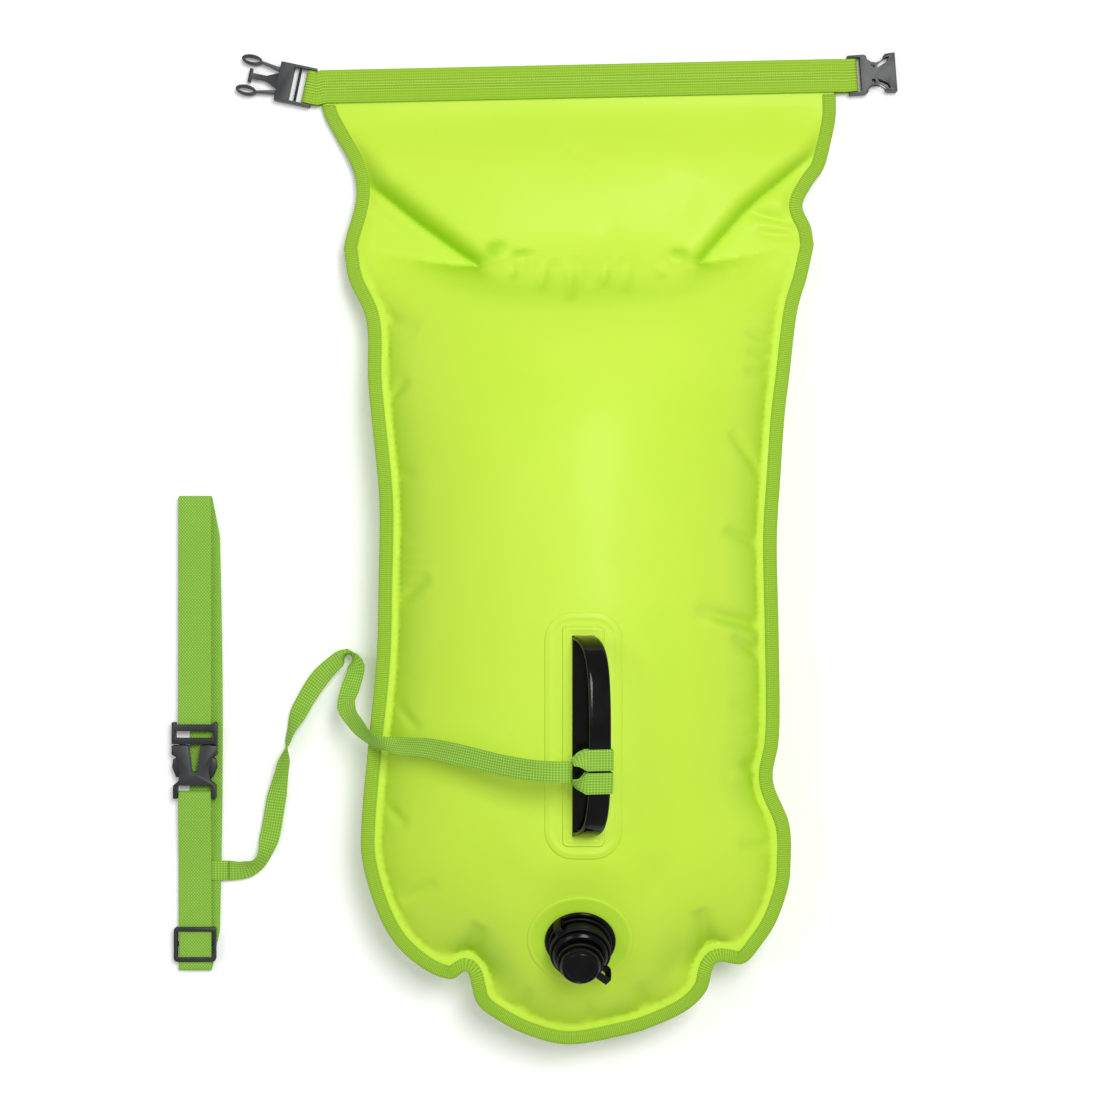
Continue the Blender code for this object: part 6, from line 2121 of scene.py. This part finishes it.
@dataclass
class WaistBelt:
    """The waist belt as it lies: a flattened loop of webbing with its closed buckle and its slide."""

    finishes: Finishes
    middle: float = -0.288
    width: float = 0.025
    thick: float = 0.0013
    gap: float = 0.00035
    skin_gap: float = 0.0003
    back_level: float = 0.00225
    top: float = 0.108
    bottom: float = -0.251
    tail: float = 0.018
    shift: float = 0.005
    shift_middle: float = 0.008
    shift_run: float = 0.03
    turn: float = 0.0022
    frame_bar: Pair = (-0.066, 0.0068)
    clasp_bar: Pair = (-0.11785, 0.00745)
    threaded: float = 0.0062
    slide_end: float = -0.1783
    front_start: float = 0.0086
    leash_end: Triple = (-0.263, -0.176, 0.0044)
    loop_width: float = 0.015
    loop_thick: float = 0.0012
    sewn_along: float = -0.14

    def arc(self, y: float, z: float, radius: float, start: float, end: float, steps: int) -> Pairs:
        """Draws a turn of the webbing, seen from the side."""
        angles = [mixed(start, end, i / steps) for i in range(steps + 1)]
        return [(y + radius * math.cos(angle), z + radius * math.sin(angle)) for angle in angles]

    def route(self) -> Pairs:
        """Draws the webbing seen from the side: frame's bar, front, top fold, back, bottom fold, clasp's bar.

        Returns:
            Its points, in Y and Z.
        """
        (frame_y, frame_z), (clasp_y, clasp_z), turn = self.frame_bar, self.clasp_bar, self.turn
        high = frame_z + turn
        fold = (high - self.thick / 2 - self.back_level) / 2
        low_fold = (self.threaded - self.back_level) / 2
        points = [(frame_y + self.tail, frame_z - turn)]
        points += self.arc(frame_y, frame_z, turn, -math.pi / 2, -3 * math.pi / 2, 10)
        front, peak = frame_y + self.front_start, self.top - fold
        points += [(mixed(front, peak, s), high - self.thick / 2 * smoothstep(s * 3))
                   for s in (0.0, 0.08, 0.15, 0.25, 0.4, 0.55, 0.7, 0.85)]
        points += self.arc(peak, self.back_level + fold, fold, math.pi / 2, -math.pi / 2, 14)
        foot = self.bottom + low_fold
        points += [(mixed(peak, foot, s), self.back_level)
                   for s in (0.03, 0.08, 0.2, 0.35, 0.5, 0.65, 0.8, 0.92, 0.97)]
        points += self.arc(foot, self.back_level + low_fold, low_fold, -math.pi / 2, -3 * math.pi / 2, 12)
        points += [(self.slide_end, self.threaded)]
        climb_end, climb = clasp_y - turn - self.thick, clasp_z + turn
        points += [(mixed(self.slide_end, climb_end, s), mixed(self.threaded, climb, smoothstep(s)))
                   for s in (0.2, 0.4, 0.6, 0.8, 1.0)]
        points += self.arc(clasp_y, clasp_z, turn, math.pi / 2, -math.pi / 2, 10)
        return points + [(clasp_y - self.tail, clasp_z - turn)]

    def across_at(self, y: float, z: float) -> float:
        """Gives the webbing's place in X: the back layer comes out from under the front one.

        Args:
            y: The point's place along the belt.
            z: Its height.

        Returns:
            The middle of the webbing in X.
        """
        if z > self.back_level + self.thick:
            return self.middle
        share = (y - self.bottom) / (self.top - self.bottom)
        bow = math.sin(math.pi * min(max(share, 0.0), 1.0))
        near = min(self.top - y, y - self.bottom) / self.shift_run
        return self.middle + smoothstep(near) * mixed(self.shift, self.shift_middle, bow)

    def build(self) -> None:
        """Builds the webbing, the buckle and the slide."""
        line = [Vector((self.across_at(y, z), y, z)) for y, z in self.route()]
        line, across = finer(line, [Vector((1, 0, 0))] * len(line), 0.004)
        belt = strap("webbing_belt", line, across, self.width, self.thick, self.finishes.belt, 12)
        stands_for(belt, ("waist_belt",), "bag")
        level = max(p.z for p in line if abs(p.y - self.sewn_along) < 0.004) + self.thick / 2
        half = self.width / 2 - 0.003
        rows = [[Vector((self.middle + x, y, level)) for x in (-half, half)]
                for y in (self.sewn_along, self.sewn_along + 0.003)]
        sew("belt_stitches", rows, Thread(0.0024, 0.0017, 0.0005), self.finishes.stitch, "bag")
        self.build_loop()
        for node, name, body in (("belt_frame", "buckle_frame", "bag"), ("belt_clasp", "buckle_clasp", "bag"),
                                 ("belt_arm_left", "buckle_arm_left", "belt_latch_left"),
                                 ("belt_arm_right", "buckle_arm_right", "belt_latch_right"),
                                 ("belt_adjuster", "three_bar_slide", "adjuster")):
            stands_for(rounded_copy(node, name, 0.0006, self.finishes.buckle), (node,), body)

    def build_loop(self) -> None:
        """Builds the loop that the leash's far end makes round the belt's back layer."""
        end = Vector(self.leash_end)
        middle = self.across_at(end.y, self.back_level)
        out = self.width / 2 + 2 * self.gap + self.loop_thick / 2
        rise = self.thick / 2 + self.skin_gap + self.loop_thick / 2
        turns = [(0.9, 1), (0.0, 1), (-0.93, 1), (-0.93, -1), (0.0, -1), (0.9, -1)]
        line = [Vector((middle + out * share, end.y, self.back_level + rise * side)) for share, side in turns]
        line.insert(3, Vector((middle - out - self.loop_thick / 3, end.y, self.back_level)))
        line.insert(0, Vector((end.x - self.gap, end.y, end.z)))
        line, across = finer(line, [Vector((0, 1, 0))] * len(line), 0.004)
        piece = strap("leash_end_loop", line, across, self.loop_width, self.loop_thick, self.finishes.leash)
        stands_for(piece, ("leash_belt_loop",), "bag")


# Everything that is set up round the buoy


@dataclass
class Studio:
    """The plain pale floor, the soft light and the camera above it."""

    floor_size: float = 6.0
    floor_level: float = -0.0004
    floor_glow: float = 0.08
    floor_tint: Triple = (0.96, 0.96, 0.965)
    sky: float = 0.43
    lamp_size: float = 1.3
    lamp_power: float = 82.0
    side_share: float = 0.22
    lit: Triple = (0.0, 0.05, 0.05)

    def build(self) -> None:
        """Builds the floor, the lights and the camera."""
        half = self.floor_size / 2
        shader = Shader("pale floor", self.floor_tint, 0.9)
        path = shader.node("ShaderNodeLightPath", {}, {}, "Is Camera Ray")
        glow = shader.node("ShaderNodeEmission", {}, {"Color": (1.0, 1.0, 1.0, 1.0), "Strength": self.floor_glow})
        dark = shader.node("ShaderNodeEmission", {}, {"Strength": 0.0})
        seen = shader.node("ShaderNodeMixShader", {}, {0: path, 1: dark, 2: glow})
        plain = Wire(shader.tree, shader.surface.outputs[0])
        both = shader.node("ShaderNodeAddShader", {}, {0: plain, 1: seen})
        output = next(n for n in shader.tree.nodes if n.type == "OUTPUT_MATERIAL")
        shader.tree.links.new(both.socket, output.inputs["Surface"])
        corners = [(x * half, y * half, self.floor_level) for x, y in ((-1, -1), (1, -1), (1, 1), (-1, 1))]
        floor = new_piece("floor", corners, [(0, 1, 2, 3)], shader.material)
        world = bpy.data.worlds.new("soft sky")
        world.use_nodes = True
        background = world.node_tree.nodes["Background"]
        background.inputs["Color"].default_value = (1.0, 1.0, 1.0, 1.0)
        background.inputs["Strength"].default_value = self.sky
        bpy.context.scene.world = world
        for name, place, share in (("window", (0.7, 1.0, 3.4), 1.0), ("side", (-2.2, 0.6, 3.2), self.side_share)):
            data = bpy.data.lights.new(name, "AREA")
            data.energy = self.lamp_power * share
            data.size = self.lamp_size
            lamp = linked(name, data)
            lamp.location = place
            lamp.rotation_euler = (Vector(self.lit) - Vector(place)).to_track_quat("-Z", "Y").to_euler()
        data = bpy.data.cameras.new("above")
        data.angle = 2 * math.atan(PHOTO_SIDE * PIXEL / 2 / (CAMERA_HEIGHT - PHOTO_LEVEL))
        camera = linked("above", data)
        camera.location = (AIM.x, AIM.y, CAMERA_HEIGHT)
        bpy.context.scene.camera = camera
        bpy.context.scene.view_settings.view_transform = "Standard"


def main() -> None:
    """Builds and dresses the whole buoy."""
    logging.basicConfig(level=logging.INFO, format="%(name)s: %(message)s")
    Studio().build()
    finishes = Finishes()
    plan = Plan()
    Leash(finishes).build()
    skin = FloatSkin(plan, finishes)
    skin.build()
    Mouth(plan, finishes).build()
    Handle(finishes, skin.tops["float_front"]).build()
    Valve(finishes, skin.tops["float_front"]).build()
    WaistBelt(finishes).build()


if __name__ == "__main__":
    main()
